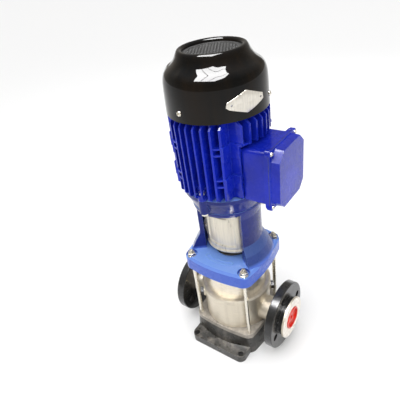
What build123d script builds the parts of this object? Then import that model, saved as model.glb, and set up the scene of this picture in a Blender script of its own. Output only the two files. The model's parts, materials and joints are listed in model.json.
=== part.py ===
from build123d import *
import os
from math import cos, radians, sin, sqrt

# Vertical multistage in-line pump with a flange-mounted electric motor.
# Millimetres. +Z is up the shaft, the origin is at the bottom centre of the foot,
# X runs along the two ports and the long side of the foot runs along Y.

os.makedirs("parts", exist_ok=True)

# ---------------------------------------------------------------- driving dimensions
# Foot
foot_length = 238.0
foot_width = 152.0
foot_thickness = 20.0
foot_corner = 16.0
foot_hole_x = 130.0
foot_hole_y = 215.0
foot_hole_r = 7.0
pedestal_height = 50.0

# Ports
port_height = 90.0
face_to_face = 300.0
port_bore_r = 27.5
stub_r = 30.0
collar_r = 51.0
collar_thickness = 4.0
flange_r = 82.5
flange_thickness = 20.0
flange_hub_r = 47.0
flange_bolt_circle = 125.0
flange_hole_r = 9.0
flange_hole_turn = 15.0
flange_running_gap = 0.08
flange_end_gap = 0.3
plug_gap = 0.3
plug_depth = 3.8
plug_height = 3.0
casing_plug_turns = [35, 215]
casing_plug_height = 118.0

# Pump casing and sleeve
casing_r = 82.0
casing_wall = 3.0
casing_bottom = 62.0
casing_ring_r = 85.0
casing_ring_bottom = 143.0
casing_ring_top = 156.0
sleeve_r = 72.0
sleeve_wall = 2.0
sleeve_bottom = 148.0
sleeve_top = 240.0

# Tie rods
rod_place = 70.0
rod_r = 4.5
rod_bottom = 52.0
rod_top = 272.0

# Hydraulics
shaft_r = 8.0
stage_count = 3
stage_pitch = 40.0
stage_bottom = 105.0
stage_r = 64.0
stage_wall = 2.0
impeller_r = 52.0
impeller_eye_r = 20.0
vane_count = 6
guide_count = 8

# Motor stool
stool_bottom = 228.0
stool_flange_top = 262.0
stool_top = 404.0
column_r = 71.0
column_inner_r = 61.0
column_half_angle = 37.0
stool_spigot_r = 47.5
stool_recess_r = 14.0
stool_recess_floor = 254.0
motor_bolt_circle = 115.0

# Coupling
coupling_r = 27.0
coupling_bottom = 283.0
coupling_top = 375.0
coupling_step = 322.0
motor_shaft_r = 12.0

# Guards
guard_face_y = 40.0
guard_fold_x = 27.0
guard_edge_x = 46.0
guard_tab_x = 53.8
guard_tab_y = 25.75
guard_thickness = 1.5
guard_bottom = 270.0
guard_top = 383.0
guard_screw_x = 49.4
guard_screw_z = 323.0

# Motor
frame_bottom = 448.0
frame_top = 608.0
frame_r = 76.0
frame_bore_r = 68.0
fin_tip_r = 98.0
fin_thickness = 3.4
fin_offsets = [7.7, 23.1, 38.6, 54.0]
through_bolt_r = 85.0
core_bottom = 478.0
core_top = 575.0
rotor_r = 40.0
air_gap = 0.5
bearing_r = 26.0
bearing_width = 15.0
lower_bearing_bottom = 425.0
upper_bearing_bottom = 588.0

# Fan cowl
cowl_bottom = 609.0
cowl_r = 98.0
cowl_top = 717.0
cowl_screw_turn = 21.0
cowl_screw_height = 626.0
grille_r = 59.0
grille_height = 703.0
fan_r = 86.0
fan_bottom = 640.0

# Terminal box
box_half_width = 50.0
box_low = 440.0
box_high = 552.0
box_root = 76.0
box_rim = 130.0
lid_face = 151.0
lid_half_width = 54.0
lid_low = 434.0
lid_high = 557.0
gland_x = 105.0
gland_y = 36.5

UP = (Align.CENTER, Align.CENTER, Align.MIN)


# ---------------------------------------------------------------- helpers
def save(name, *pieces):
    """Writes the given solids as one named sub-part."""
    solids = [solid for piece in pieces for solid in piece.solids()]
    shape = solids[0] if len(solids) == 1 else Compound(solids)
    shape.label = name
    export_step(shape, f"parts/{name}.step")


def rod(radius, low, high, x=0.0, y=0.0):
    """Upright cylinder between two heights."""
    return Pos(x, y, low) * Cylinder(radius, high - low, align=UP)


def tube(outer, inner, low, high, x=0.0, y=0.0):
    """Upright hollow cylinder between two heights."""
    return rod(outer, low, high, x, y) - rod(inner, low - 1, high + 1, x, y)


def cross_rod(radius, start, end, y=0.0, z=0.0):
    """Cylinder lying along X between two places."""
    middle = (start + end) / 2
    return Pos(middle, y, z) * Rot(0, 90, 0) * Cylinder(radius, abs(end - start))


def hexagon(across_flats, low, high, x=0.0, y=0.0, turn=0.0):
    """Upright hexagonal prism between two heights."""
    outline = RegularPolygon(across_flats / 2, 6, major_radius=False, rotation=turn)
    return Pos(x, y, low) * extrude(outline, high - low)


def turned(points):
    """Solid of revolution about Z from (radius, height) points."""
    outline = make_face(Plane.XZ * Polyline(*points, close=True))
    return revolve(outline, Axis.Z)


def block(x, y, z):
    """Box between pairs of limits."""
    size = (x[1] - x[0], y[1] - y[0], z[1] - z[0])
    return Pos((x[0] + x[1]) / 2, (y[0] + y[1]) / 2, (z[0] + z[1]) / 2) * Box(*size)


def around(piece, angles):
    """Copies of a piece turned about Z."""
    return [Rot(0, 0, angle) * piece for angle in angles]


def bowed_square(corner, corner_r, reach_x, reach_y):
    """Square outline with round corners and gently bowed sides."""
    edge = corner + corner_r
    slant = corner + corner_r * sqrt(0.5)
    front = ThreePointArc((-corner, -edge), (0, -reach_y), (corner, -edge))
    right = ThreePointArc((edge, -corner), (reach_x, 0), (edge, corner))
    back = ThreePointArc((corner, edge), (0, reach_y), (-corner, edge))
    left = ThreePointArc((-edge, corner), (-reach_x, 0), (-edge, -corner))
    bend_1 = ThreePointArc((corner, -edge), (slant, -slant), (edge, -corner))
    bend_2 = ThreePointArc((edge, corner), (slant, slant), (corner, edge))
    bend_3 = ThreePointArc((-corner, edge), (-slant, slant), (-edge, corner))
    bend_4 = ThreePointArc((-edge, -corner), (-slant, -slant), (-corner, -edge))
    return make_face([front, bend_1, right, bend_2, back, bend_3, left, bend_4])


quarter_turns = [0, 90, 180, 270]
corners = [(1, 1), (-1, 1), (-1, -1), (1, -1)]


# ---------------------------------------------------------------- foot
def make_foot():
    """Cast foot: a solid drilled plate with a tapering pedestal."""
    plate = extrude(RectangleRounded(foot_width, foot_length, foot_corner), foot_thickness)
    low_outline = bowed_square(62, 24, 92, 103)
    high_outline = Pos(0, 0, pedestal_height) * bowed_square(62, 20, 86, 86)
    pedestal = loft([low_outline, high_outline])
    foot = plate + pedestal
    for side_x, side_y in corners:
        place = (side_x * foot_hole_x / 2, side_y * foot_hole_y / 2)
        foot -= rod(foot_hole_r, -1, pedestal_height + 1, *place)
        foot -= rod(foot_hole_r + 6, foot_thickness, pedestal_height + 1, *place)
    return foot


# ---------------------------------------------------------------- casing
def make_casing_flange():
    """Square flange between the foot and the casing, tapped for the tie rods."""
    outline = Pos(0, 0, pedestal_height) * bowed_square(62, 20, 86, 86)
    plate = extrude(outline, casing_bottom - pedestal_height)
    for side_x, side_y in corners:
        plate -= rod(rod_r, rod_bottom, casing_bottom + 1, side_x * rod_place, side_y * rod_place)
    return plate - cross_rod(stub_r, -100, 100, z=port_height)


def make_casing():
    """Welded casing: a can with a thick top ring and two port stubs with collars."""
    outline = [
        (0, casing_bottom),
        (casing_r - 4, casing_bottom),
        (casing_r, casing_bottom + 4),
        (casing_r, casing_ring_bottom),
        (casing_ring_r, casing_ring_bottom + 2),
        (casing_ring_r, casing_ring_top - 3),
        (casing_ring_r - 3, casing_ring_top),
        (sleeve_r, casing_ring_top),
        (sleeve_r, sleeve_bottom),
        (sleeve_r - 4, sleeve_bottom),
        (sleeve_r - 4, casing_ring_bottom),
        (casing_r - casing_wall, casing_ring_bottom - 6),
        (casing_r - casing_wall, casing_bottom + 4),
        (0, casing_bottom + 4),
    ]
    casing = turned(outline)
    end = face_to_face / 2
    for side in (1, -1):
        casing += cross_rod(stub_r, side * 60, side * end, z=port_height)
        collar = cross_rod(collar_r, side * (end - collar_thickness), side * end, z=port_height)
        casing += collar
    casing -= rod(casing_r - casing_wall, casing_bottom + 4, casing_ring_bottom - 6)
    for side in (1, -1):
        casing -= cross_rod(port_bore_r, side * 60, side * (end + 1), z=port_height)
    for turn in casing_plug_turns:
        boss = cross_rod(13, casing_r - 4, casing_r + 3, z=casing_plug_height)
        tapped = cross_rod(8, casing_r - 6, casing_r + 4, z=casing_plug_height)
        casing += Rot(0, 0, turn) * boss
        casing -= Rot(0, 0, turn) * tapped
    return casing


def make_port_flange(side):
    """Loose flange that turns on the port stub behind the collar."""
    back = face_to_face / 2 - 14 - flange_thickness
    front = face_to_face / 2 - 14
    hub_end = face_to_face / 2 - collar_thickness - flange_end_gap
    flange = cross_rod(flange_r, back, front)
    flange = chamfer(flange.edges().filter_by(GeomType.CIRCLE), 1.5)
    flange += cross_rod(flange_hub_r, front, hub_end)
    flange -= cross_rod(stub_r + flange_running_gap, back - 1, hub_end + 1)
    reach = flange_bolt_circle / 2
    for quarter in quarter_turns:
        turn = radians(flange_hole_turn + quarter)
        y = side * reach * cos(turn)
        z = reach * sin(turn)
        flange -= cross_rod(flange_hole_r, back - 1, front + 1, y=y, z=z)
    if side < 0:
        flange = Rot(0, 0, 180) * flange
    return Pos(0, 0, port_height) * flange


def make_port_plug(side):
    """Push-in cap that closes a port for storage."""
    end = face_to_face / 2
    plug_r = port_bore_r - plug_gap
    plug = cross_rod(plug_r, end - plug_depth, end + plug_height)
    plug = chamfer(plug.edges().filter_by(GeomType.CIRCLE), 0.6)
    plug -= cross_rod(plug_r - 3.5, end - 1.5, end + plug_height + 1)
    plug += cross_rod(4, end - 2.5, end + plug_height / 2)
    if side < 0:
        plug = Rot(0, 0, 180) * plug
    return Pos(0, 0, port_height) * plug


def make_casing_plug(turn):
    """Hexagon plug screwed into a casing boss."""
    thread = cross_rod(8, casing_r - 5, casing_r + 3, z=casing_plug_height)
    outline = RegularPolygon(9.5, 6, major_radius=False)
    head = Pos(casing_r + 3, 0, casing_plug_height) * Rot(0, 90, 0) * extrude(outline, 8)
    return Rot(0, 0, turn) * (thread + head)


# ---------------------------------------------------------------- hydraulics
def make_inlet_bowl():
    """Inner bowl that leads the suction port to the eye of the first stage."""
    low = casing_bottom + 4
    wall_r = 44.0
    reach = casing_r - casing_wall
    pipe = cross_rod(28, -reach, -30, z=port_height) & rod(reach, low, stage_bottom - 2)
    bowl = rod(wall_r, low, stage_bottom - 2) + pipe
    bowl += rod(stage_r, stage_bottom - 2, stage_bottom)
    bowl -= rod(wall_r - 2.5, low + 3, stage_bottom - 2)
    bowl -= rod(28, low + 3, stage_bottom + 1)
    bowl -= cross_rod(26, -reach - 1, -20, z=port_height) & rod(100, low + 3, stage_bottom - 4)
    arms = Box(2 * wall_r - 2, 5, 10) + Box(5, 2 * wall_r - 2, 10)
    bowl += Pos(0, 0, low + 8) * Rot(0, 0, 45) * arms
    bowl += rod(16, low + 3, low + 20)
    bowl -= rod(12, low + 3, low + 21)
    return bowl


def make_bush():
    """Plain bearing bush of the pump shaft."""
    low = casing_bottom + 4
    return tube(12, shaft_r + 0.06, low + 5, low + 20)


def stage_floor(index):
    """Height of the bottom of one stage."""
    return stage_bottom + index * stage_pitch


def make_stage_casing(index):
    """Cup that holds one stage, with the inlet eye in its floor."""
    low = stage_floor(index)
    cup = tube(stage_r, stage_r - stage_wall, low, low + stage_pitch)
    cup += tube(stage_r - stage_wall, impeller_eye_r + 4.6, low, low + 2)
    cup += tube(impeller_eye_r + 6, impeller_eye_r + 4.6, low, low + 6)
    return cup


def curved_vane(inner_r, outer_r, sweep, thickness, low, high):
    """Backward-curved blade between two radii."""
    start = (inner_r, 0)
    end_turn = radians(sweep)
    end = (outer_r * cos(end_turn), outer_r * sin(end_turn))
    middle_r = (inner_r + outer_r) / 2
    middle_turn = radians(sweep * 0.36)
    middle = (middle_r * cos(middle_turn), middle_r * sin(middle_turn))
    line = ThreePointArc(start, middle, end)
    band = trace(line, line_width=thickness)
    return Pos(0, 0, low) * extrude(band, high - low)


def make_impeller(index):
    """Closed impeller: two shrouds, backward-curved blades, a hub and an eye ring."""
    low = stage_floor(index) + 7
    wheel = rod(impeller_r, low + 13, low + 15)
    wheel += tube(impeller_r, impeller_eye_r, low + 3, low + 5)
    wheel += tube(impeller_eye_r + 4, impeller_eye_r, low - 6, low + 5)
    wheel += rod(14, low + 3, low + 15)
    blade = curved_vane(impeller_eye_r + 1, impeller_r - 1, -62, 2.0, low + 4, low + 14)
    for piece in around(blade, [360 / vane_count * k for k in range(vane_count)]):
        wheel += piece
    return wheel - rod(shaft_r, low - 7, low + 16)


def make_diffuser(index):
    """Guide wheel above an impeller that turns the flow back to the axis."""
    low = stage_floor(index) + 24
    wheel = tube(58, 14.5, low, low + 2)
    blade = curved_vane(18, stage_r - stage_wall - 1.2, 55, 2.0, low + 1, low + 16)
    for piece in around(blade, [360 / guide_count * k for k in range(guide_count)]):
        wheel += piece
    return wheel


def make_spacer(low, high):
    """Sleeve on the pump shaft between two hubs."""
    return tube(12, shaft_r, low, high)


def make_head_cover():
    """Cover over the stages that carries the shaft seal."""
    outline = [
        (24, 228),
        (64, 228),
        (64, 231),
        (sleeve_r - sleeve_wall, 231),
        (sleeve_r - sleeve_wall, sleeve_top),
        (76, sleeve_top),
        (76, 248),
        (36, 248),
        (34, 258),
        (15, 258),
        (15, 250),
        (24, 250),
    ]
    return turned(outline)


# ---------------------------------------------------------------- motor stool
def make_stool():
    """Cast stool: a skirted square flange, two wide columns and a round top flange."""
    outline = bowed_square(62, 25, 93, 93)
    shoulder = stool_flange_top - 5
    flange = Pos(0, 0, stool_bottom) * extrude(outline, shoulder - stool_bottom)
    top_face = Pos(0, 0, stool_flange_top) * bowed_square(62, 20, 88, 88)
    flange += loft([Pos(0, 0, shoulder) * outline, top_face])
    flange -= rod(76.2, stool_bottom - 1, 248)
    outer = [
        (column_inner_r, stool_flange_top - 8),
        (96, stool_flange_top - 8),
        (96, stool_flange_top),
        (84, 286),
        (column_r + 1, 306),
        (column_r, 318),
        (column_r, 378),
        (column_r + 4, 396),
        (column_r + 4, 402),
        (column_inner_r, 402),
    ]
    reach = 220.0
    side_x = reach * cos(radians(column_half_angle))
    side_y = reach * sin(radians(column_half_angle))
    wedge = make_face(Polyline((0, 0), (side_x, -side_y), (side_x, side_y), close=True))
    column = turned(outer) & (Pos(0, 0, stool_bottom) * extrude(wedge, stool_top))
    for side_y in (1, -1):
        y = sorted((side_y * guard_tab_y, side_y * (guard_tab_y - 10)))
        column += block((guard_screw_x - 6, column_inner_r - 1), y, (guard_screw_z - 8, guard_screw_z + 8))
    top_outline = [
        (stool_spigot_r, 392),
        (66, 392),
        (column_r + 3, 394),
        (column_r + 5, 399),
        (column_r + 5, stool_top),
        (stool_spigot_r, stool_top),
    ]
    stool = flange + column + Rot(0, 0, 180) * column + turned(top_outline)
    stool -= rod(40, 240, 300)
    for side_x, side_y in corners:
        place = (side_x * rod_place, side_y * rod_place)
        stool -= rod(rod_r + 0.5, stool_bottom - 1, stool_flange_top + 1, *place)
        stool -= rod(stool_recess_r, stool_recess_floor, stool_flange_top + 30, *place)
        bolt_reach = motor_bolt_circle / 2 * sqrt(0.5)
        stool -= rod(4.5, 380, stool_top + 1, side_x * bolt_reach, side_y * bolt_reach)
        stool -= guard_screw_shank(side_x, side_y)
    return stool


def guard_screw_shank(side_x, side_y):
    """Shank of one guard screw, along Y."""
    middle = side_y * (guard_tab_y - 2.5)
    return Pos(side_x * guard_screw_x, middle, guard_screw_z) * Rot(90, 0, 0) * Cylinder(2, 11)


def make_guard(side):
    """Folded sheet guard of one window: three facets, two pointed tabs, a foot lip and a slot."""
    edge_y = guard_tab_y + guard_thickness / 2
    line = Polyline(
        (-guard_edge_x, edge_y),
        (-guard_fold_x, guard_face_y),
        (guard_fold_x, guard_face_y),
        (guard_edge_x, edge_y),
    )
    band = trace(line, line_width=guard_thickness)
    guard = Pos(0, 0, guard_bottom) * extrude(band, guard_top - guard_bottom)
    tab_outline = [
        (guard_edge_x - 1, -11),
        (guard_screw_x, -9),
        (guard_tab_x, 0),
        (guard_screw_x, 9),
        (guard_edge_x - 1, 11),
    ]
    for side_x in (1, -1):
        outline = make_face(Polyline(*[(side_x * x, z) for x, z in tab_outline], close=True))
        tab = extrude(Plane.XZ * outline, -guard_thickness)
        guard += Pos(0, guard_tab_y, guard_screw_z) * tab
        guard -= guard_screw_shank(side_x, 1)
    lip_reach = (guard_face_y - 0.5, guard_face_y + 4)
    guard += block((-guard_fold_x, guard_fold_x), lip_reach, (guard_bottom, guard_bottom + guard_thickness))
    slot = Pos(0, guard_face_y, guard_top - 8) * Rot(90, 0, 0) * extrude(SlotOverall(22, 3), 5, both=True)
    guard -= slot
    if side < 0:
        guard = Rot(0, 0, 180) * guard
    return guard


def make_guard_screw(side_x, side_y):
    """Pan-head screw of a guard tab."""
    head_y = side_y * (guard_tab_y + guard_thickness + 1)
    head = Pos(side_x * guard_screw_x, head_y, guard_screw_z) * Rot(90, 0, 0) * Cylinder(3.2, 2)
    return guard_screw_shank(side_x, side_y) + head


# ---------------------------------------------------------------- coupling
def make_coupling_half(side):
    """Half of the split coupling."""
    shell = rod(coupling_r, coupling_bottom, coupling_top)
    shell -= rod(shaft_r, coupling_bottom - 1, coupling_step)
    shell -= rod(motor_shaft_r, coupling_step, coupling_top + 1)
    keep = block((-40, 40), (1, 40), (coupling_bottom - 1, coupling_top + 1))
    if side < 0:
        keep = Rot(0, 0, 180) * keep
    half = shell & keep
    for x in (-19, 19):
        for z in (coupling_bottom + 18, coupling_top - 18):
            half -= Pos(x, 0, z) * Rot(90, 0, 0) * Cylinder(3, 80)
            pocket = Pos(x, side * 24, z) * Rot(90, 0, 0) * Cylinder(5.5, 16)
            half -= pocket
    half -= Pos(0, 0, coupling_bottom + 24) * Rot(90, 0, 0) * Cylinder(2.5, 80)
    return half


def make_coupling_screw(x, z):
    """Socket screw that clamps the coupling halves."""
    shank = Pos(x, -1, z) * Rot(90, 0, 0) * Cylinder(3, 34)
    head = Pos(x, 19, z) * Rot(90, 0, 0) * Cylinder(5, 6)
    nut = Pos(x, -19, z) * Rot(90, 0, 0) * extrude(RegularPolygon(4.7, 6, major_radius=False), 3, both=True)
    return shank + head + nut


# ---------------------------------------------------------------- motor
def make_lower_shield():
    """Conical end shield with the flange that stands on the stool."""
    outline = [
        (14, 400),
        (stool_spigot_r, 400),
        (stool_spigot_r, stool_top),
        (75, stool_top),
        (77, 409),
        (89, 436),
        (89, 444),
        (frame_bore_r, 444),
        (frame_bore_r, 452),
        (64, 452),
        (64, 444),
        (56, 434),
        (34, 430),
        (34, 440),
        (bearing_r, 440),
        (bearing_r, 425),
        (20, 425),
        (20, 412),
        (14, 412),
    ]
    shield = turned(outline)
    lug = rod(10, 412, 444, through_bolt_r, 0) + block((70, through_bolt_r), (-10, 10), (412, 444))
    lug -= rod(frame_bore_r, 400, 450)
    for piece in around(lug, quarter_turns):
        shield += piece
    for turn in quarter_turns:
        shield -= Rot(0, 0, turn) * rod(4.2, 400, 446, through_bolt_r, 0)
        shield -= Rot(0, 0, turn + 45) * rod(4, 402, 422, motor_bolt_circle / 2, 0)
    return shield


def make_frame():
    """Finned frame: parallel fins in four quarters, foot bosses and the box pad."""
    body = rod(frame_r, 444, frame_top)
    fins = []
    for offset in fin_offsets:
        for side in (1, -1):
            y = side * offset
            width = (y - fin_thickness / 2, y + fin_thickness / 2)
            fins.append(block((50, fin_tip_r + 4), width, (frame_bottom, frame_top)))
    envelope = turned(
        [
            (0, frame_bottom),
            (fin_tip_r - 5, frame_bottom),
            (fin_tip_r, frame_bottom + 5),
            (fin_tip_r, frame_top - 10),
            (fin_tip_r - 9, frame_top),
            (0, frame_top),
        ]
    )
    quarter = fins[0]
    for fin in fins[1:]:
        quarter += fin
    for height in (483, 497, 549, 562):
        for side in (1, -1):
            low_y, high_y = sorted((side * fin_offsets[2], side * fin_offsets[3]))
            quarter += block((60, 88), (low_y, high_y), (height - 1.5, height + 1.5))
    quarter = quarter & envelope
    for turn in quarter_turns:
        body += Rot(0, 0, turn) * quarter
    notch = fin_offsets[3]
    for low, high, grow in ((470, 500, 5.0), (536, 565, 4.0)):
        for turn in quarter_turns:
            wall_a = block((notch - 2, notch + grow), (notch - 2, 82), (low, high))
            wall_b = block((notch - 2, 82), (notch - 2, notch + grow), (low, high))
            body += Rot(0, 0, turn) * (wall_a + wall_b)
    lug = rod(10, 444, 455, through_bolt_r, 0) + block((70, through_bolt_r), (-10, 10), (444, 455))
    for piece in around(lug, quarter_turns):
        body += piece
    for turn in quarter_turns:
        pocket = rod(10.5, 455, 474, through_bolt_r + 3, 0)
        body -= Rot(0, 0, turn) * pocket
        body -= Rot(0, 0, turn) * rod(4.2, 440, 456, through_bolt_r, 0)
    body -= block((box_root, 110), (-60, 60), (436, 560))
    body += block((60, box_root), (-46, 46), (456, 548))
    body -= rod(frame_bore_r, 440, frame_top + 1)
    return body


def make_upper_shield():
    """Flat end shield with the upper bearing seat and three cowl lugs."""
    outline = [
        (13, 606),
        (20, 606),
        (20, 603),
        (bearing_r, 603),
        (bearing_r, 588),
        (32, 588),
        (34, 602),
        (62, 602),
        (62, 600),
        (frame_bore_r, 600),
        (frame_bore_r, frame_top),
        (frame_r, frame_top),
        (frame_r, 612),
        (13, 612),
    ]
    shield = turned(outline)
    for index in range(3):
        arm = block((60, cowl_r - 3), (-7, 7), (608.5, 634))
        arm -= block((50, 84), (-8, 8), (612, 640))
        arm = arm & rod(cowl_r - 3.2, 600, 640)
        shield += Rot(0, 0, cowl_screw_turn + 120 * index) * arm
    for index in range(3):
        hole = cross_rod(2.5, 84, 100, z=cowl_screw_height)
        shield -= Rot(0, 0, cowl_screw_turn + 120 * index) * hole
    return shield


def make_cowl():
    """Deep-drawn fan cowl: a straight skirt, a round shoulder and a swept neck."""
    outer = [
        Line((cowl_r, cowl_bottom), (cowl_r - 1.5, 655)),
        ThreePointArc((cowl_r - 1.5, 655), (94.6, 673), (89, 684)),
        ThreePointArc((89, 684), (75, 693), (66, 705)),
        ThreePointArc((66, 705), (63, 714), (60, cowl_top)),
        ThreePointArc((60, cowl_top), (57.6, 716), (57, 713)),
        Line((57, 713), (57, 703)),
        Line((57, 703), (59, 703)),
        Line((59, 703), (62.8, 705)),
        ThreePointArc((62.8, 705), (73.2, 691.4), (87.6, 682.4)),
        ThreePointArc((87.6, 682.4), (92.7, 672.4), (cowl_r - 3.5, 655)),
        Line((cowl_r - 3.5, 655), (cowl_r - 2, cowl_bottom)),
        Line((cowl_r - 2, cowl_bottom), (cowl_r, cowl_bottom)),
    ]
    cowl = revolve(make_face(Plane.XZ * Curve(outer)), Axis.Z)
    for index in range(3):
        turn = cowl_screw_turn + 120 * index
        cowl -= Rot(0, 0, turn) * cross_rod(2.6, 90, 104, z=cowl_screw_height)
    return cowl


def make_grille():
    """Round inlet grille with a field of hexagonal openings."""
    plate = Sketch() + Circle(grille_r)
    pitch = 11.0
    cell = RegularPolygon(pitch / 2 - 0.9, 6, major_radius=False, rotation=30)
    cells = []
    for row in range(-6, 7):
        for column in range(-6, 7):
            x = (column + 0.5 * (row % 2)) * pitch
            y = row * pitch * sqrt(0.75)
            if sqrt(x * x + y * y) < 49:
                cells.append(Pos(x, y) * cell)
    plate = plate - cells
    return Pos(0, 0, grille_height - 1.5) * extrude(plate, 1.5)


def make_fan():
    """Radial fan with straight blades on a disc."""
    hub = rod(20, fan_bottom, fan_bottom + 30)
    disc = tube(fan_r - 20, 18, fan_bottom, fan_bottom + 3)
    blade = block((18, fan_r), (-1.2, 1.2), (fan_bottom, fan_bottom + 28))
    blade_top = fan_bottom + 28
    trim = turned([(0, 630), (fan_r, 630), (fan_r, fan_bottom + 14), (62, blade_top), (0, blade_top)])
    fan = hub + disc
    for piece in around(blade & trim, [360 / 7 * k for k in range(7)]):
        fan += piece
    return fan - rod(11, fan_bottom - 1, fan_bottom + 31)


def key_block():
    """Block that the key fills in the shaft."""
    return block((-4, 4), (motor_shaft_r - 3.5, motor_shaft_r + 2), (coupling_step + 8, coupling_top - 6))


def make_shaft_key():
    """Key of the motor shaft, flush with it."""
    return rod(motor_shaft_r, coupling_step, coupling_top) & key_block()


def make_motor_shaft():
    """Stepped motor shaft."""
    shaft = rod(motor_shaft_r, coupling_step, 425)
    shaft += rod(12.5, 425, 440)
    shaft += rod(16, 440, 588)
    shaft += rod(12.5, 588, 604)
    shaft += rod(11, 604, fan_bottom + 34)
    return shaft - key_block()


def make_bearing_outer(low):
    """Outer race of a ball bearing, with its groove."""
    race = tube(bearing_r, 22.2, low, low + bearing_width)
    groove = revolve(Pos(19.25, 0, low + bearing_width / 2) * Plane.XZ * Circle(4.1), Axis.Z)
    return race - groove


def make_bearing_inner(low, bore):
    """Inner race of a ball bearing, with its groove."""
    race = tube(16.2, bore, low, low + bearing_width)
    groove = revolve(Pos(19.25, 0, low + bearing_width / 2) * Plane.XZ * Circle(4.1), Axis.Z)
    return race - groove


# ---------------------------------------------------------------- terminal box
def make_box():
    """Terminal box body with a wider rim for its lid."""
    shape = Plane.YZ * RectangleRounded(2 * box_half_width, box_high - box_low, 8)
    middle = (box_low + box_high) / 2
    body = Pos(box_root, 0, middle) * extrude(shape, box_rim - box_root)
    rim_shape = Plane.YZ * RectangleRounded(2 * lid_half_width, lid_high - lid_low, 8)
    body += Pos(box_rim - 8, 0, (lid_low + lid_high) / 2) * extrude(rim_shape, 8)
    hollow = Plane.YZ * Rectangle(2 * box_half_width - 8, box_high - box_low - 8)
    body -= Pos(box_root + 23, 0, middle) * extrude(hollow, 60)
    body -= rod(90, 430, 445)
    body -= block((60, 97), (-12, 12), (430, 464))
    body -= rod(8, box_low - 10, box_low + 10, gland_x, gland_y)
    for side_y in (1, -1):
        for z in (lid_low + 6, lid_high - 6):
            body -= cross_rod(2, box_rim - 9, box_rim + 1, y=side_y * (lid_half_width - 6), z=z)
    return body


def make_lid():
    """Domed lid of the terminal box with notched corners."""
    middle = (lid_low + lid_high) / 2
    height = lid_high - lid_low
    base = extrude(Plane.YZ * RectangleRounded(2 * lid_half_width, height, 8), 3)
    outline = Rectangle(2 * lid_half_width - 3, height - 3)
    outer = Plane.YZ * chamfer(outline.vertices(), 18)
    lid = base + Pos(3, 0, 0) * extrude(outer, lid_face - box_rim - 4, taper=5)
    for side_y in (1, -1):
        for side_z in (1, -1):
            lid -= cross_rod(2, -1, 9, y=side_y * (lid_half_width - 6), z=side_z * (height / 2 - 6))
    return Pos(box_rim + 1, 0, middle) * lid


def make_gland():
    """Cable gland body with a hexagon and an open bore."""
    gland = hexagon(27, box_low - 9, box_low, gland_x, gland_y)
    gland += rod(8, box_low - 1, box_low + 6, gland_x, gland_y)
    gland += rod(11, box_low - 16, box_low - 9, gland_x, gland_y)
    return gland - rod(6, box_low - 40, box_low + 10, gland_x, gland_y)


def make_gland_nut():
    """Domed nut of the cable gland."""
    nut = hexagon(25, box_low - 30, box_low - 16, gland_x, gland_y)
    nut = nut & rod(13.6, box_low - 40, box_low, gland_x, gland_y)
    nut += rod(10, box_low - 34, box_low - 30, gland_x, gland_y)
    return nut - rod(6, box_low - 40, box_low + 10, gland_x, gland_y)


def make_gasket():
    """Flat gasket between the box rim and its lid."""
    height = lid_high - lid_low
    ring = extrude(Plane.YZ * RectangleRounded(2 * lid_half_width, height, 8), 1)
    ring -= Pos(-1, 0, 0) * extrude(Plane.YZ * Rectangle(2 * lid_half_width - 24, height - 24), 3)
    for y, z in lid_screw_places():
        ring -= cross_rod(2, -1, 2, y=y, z=z)
    return Pos(box_rim, 0, (lid_low + lid_high) / 2) * ring


def lid_screw_places():
    """Screw places about the middle of the lid."""
    reach_y = lid_half_width - 6
    reach_z = (lid_high - lid_low) / 2 - 6
    return [(side_y * reach_y, side_z * reach_z) for side_y, side_z in corners]


def make_lid_screw(y, z):
    """Pan-head screw of the terminal lid."""
    middle = (lid_low + lid_high) / 2
    shank = cross_rod(2, box_rim - 7, box_rim + 4, y=y, z=middle + z)
    return shank + cross_rod(4.2, box_rim + 4, box_rim + 7, y=y, z=middle + z)


def make_terminal_block():
    """Moulded terminal board with six studs."""
    back = box_root + 23
    board = block((back, back + 9), (-30, 30), (478, 514))
    for y in (-20, 0, 20):
        for z in (486, 506):
            board += cross_rod(2.5, back + 9, back + 19, y=y, z=z)
    return board


def make_rating_plate():
    """Thin diamond-shaped plate, bare, curved to the cowl skirt."""
    low, high = 618.0, 655.0
    slope = 1.5 / (655 - cowl_bottom)
    r_low = cowl_r - slope * (low - cowl_bottom)
    r_high = cowl_r - slope * (high - cowl_bottom)
    shell = turned([(r_low, low), (r_low + 0.8, low), (r_high + 0.8, high), (r_high, high)])
    diamond = make_face(Polyline((-38.5, -1), (4, 17), (38.5, 1), (-4, -17), close=True))
    diamond = fillet(diamond.vertices(), 5)
    prism = Pos(60, 0, (low + high) / 2) * extrude(Plane.YZ * diamond, 60)
    return shell & (Rot(0, 0, -24.5) * prism)


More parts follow.
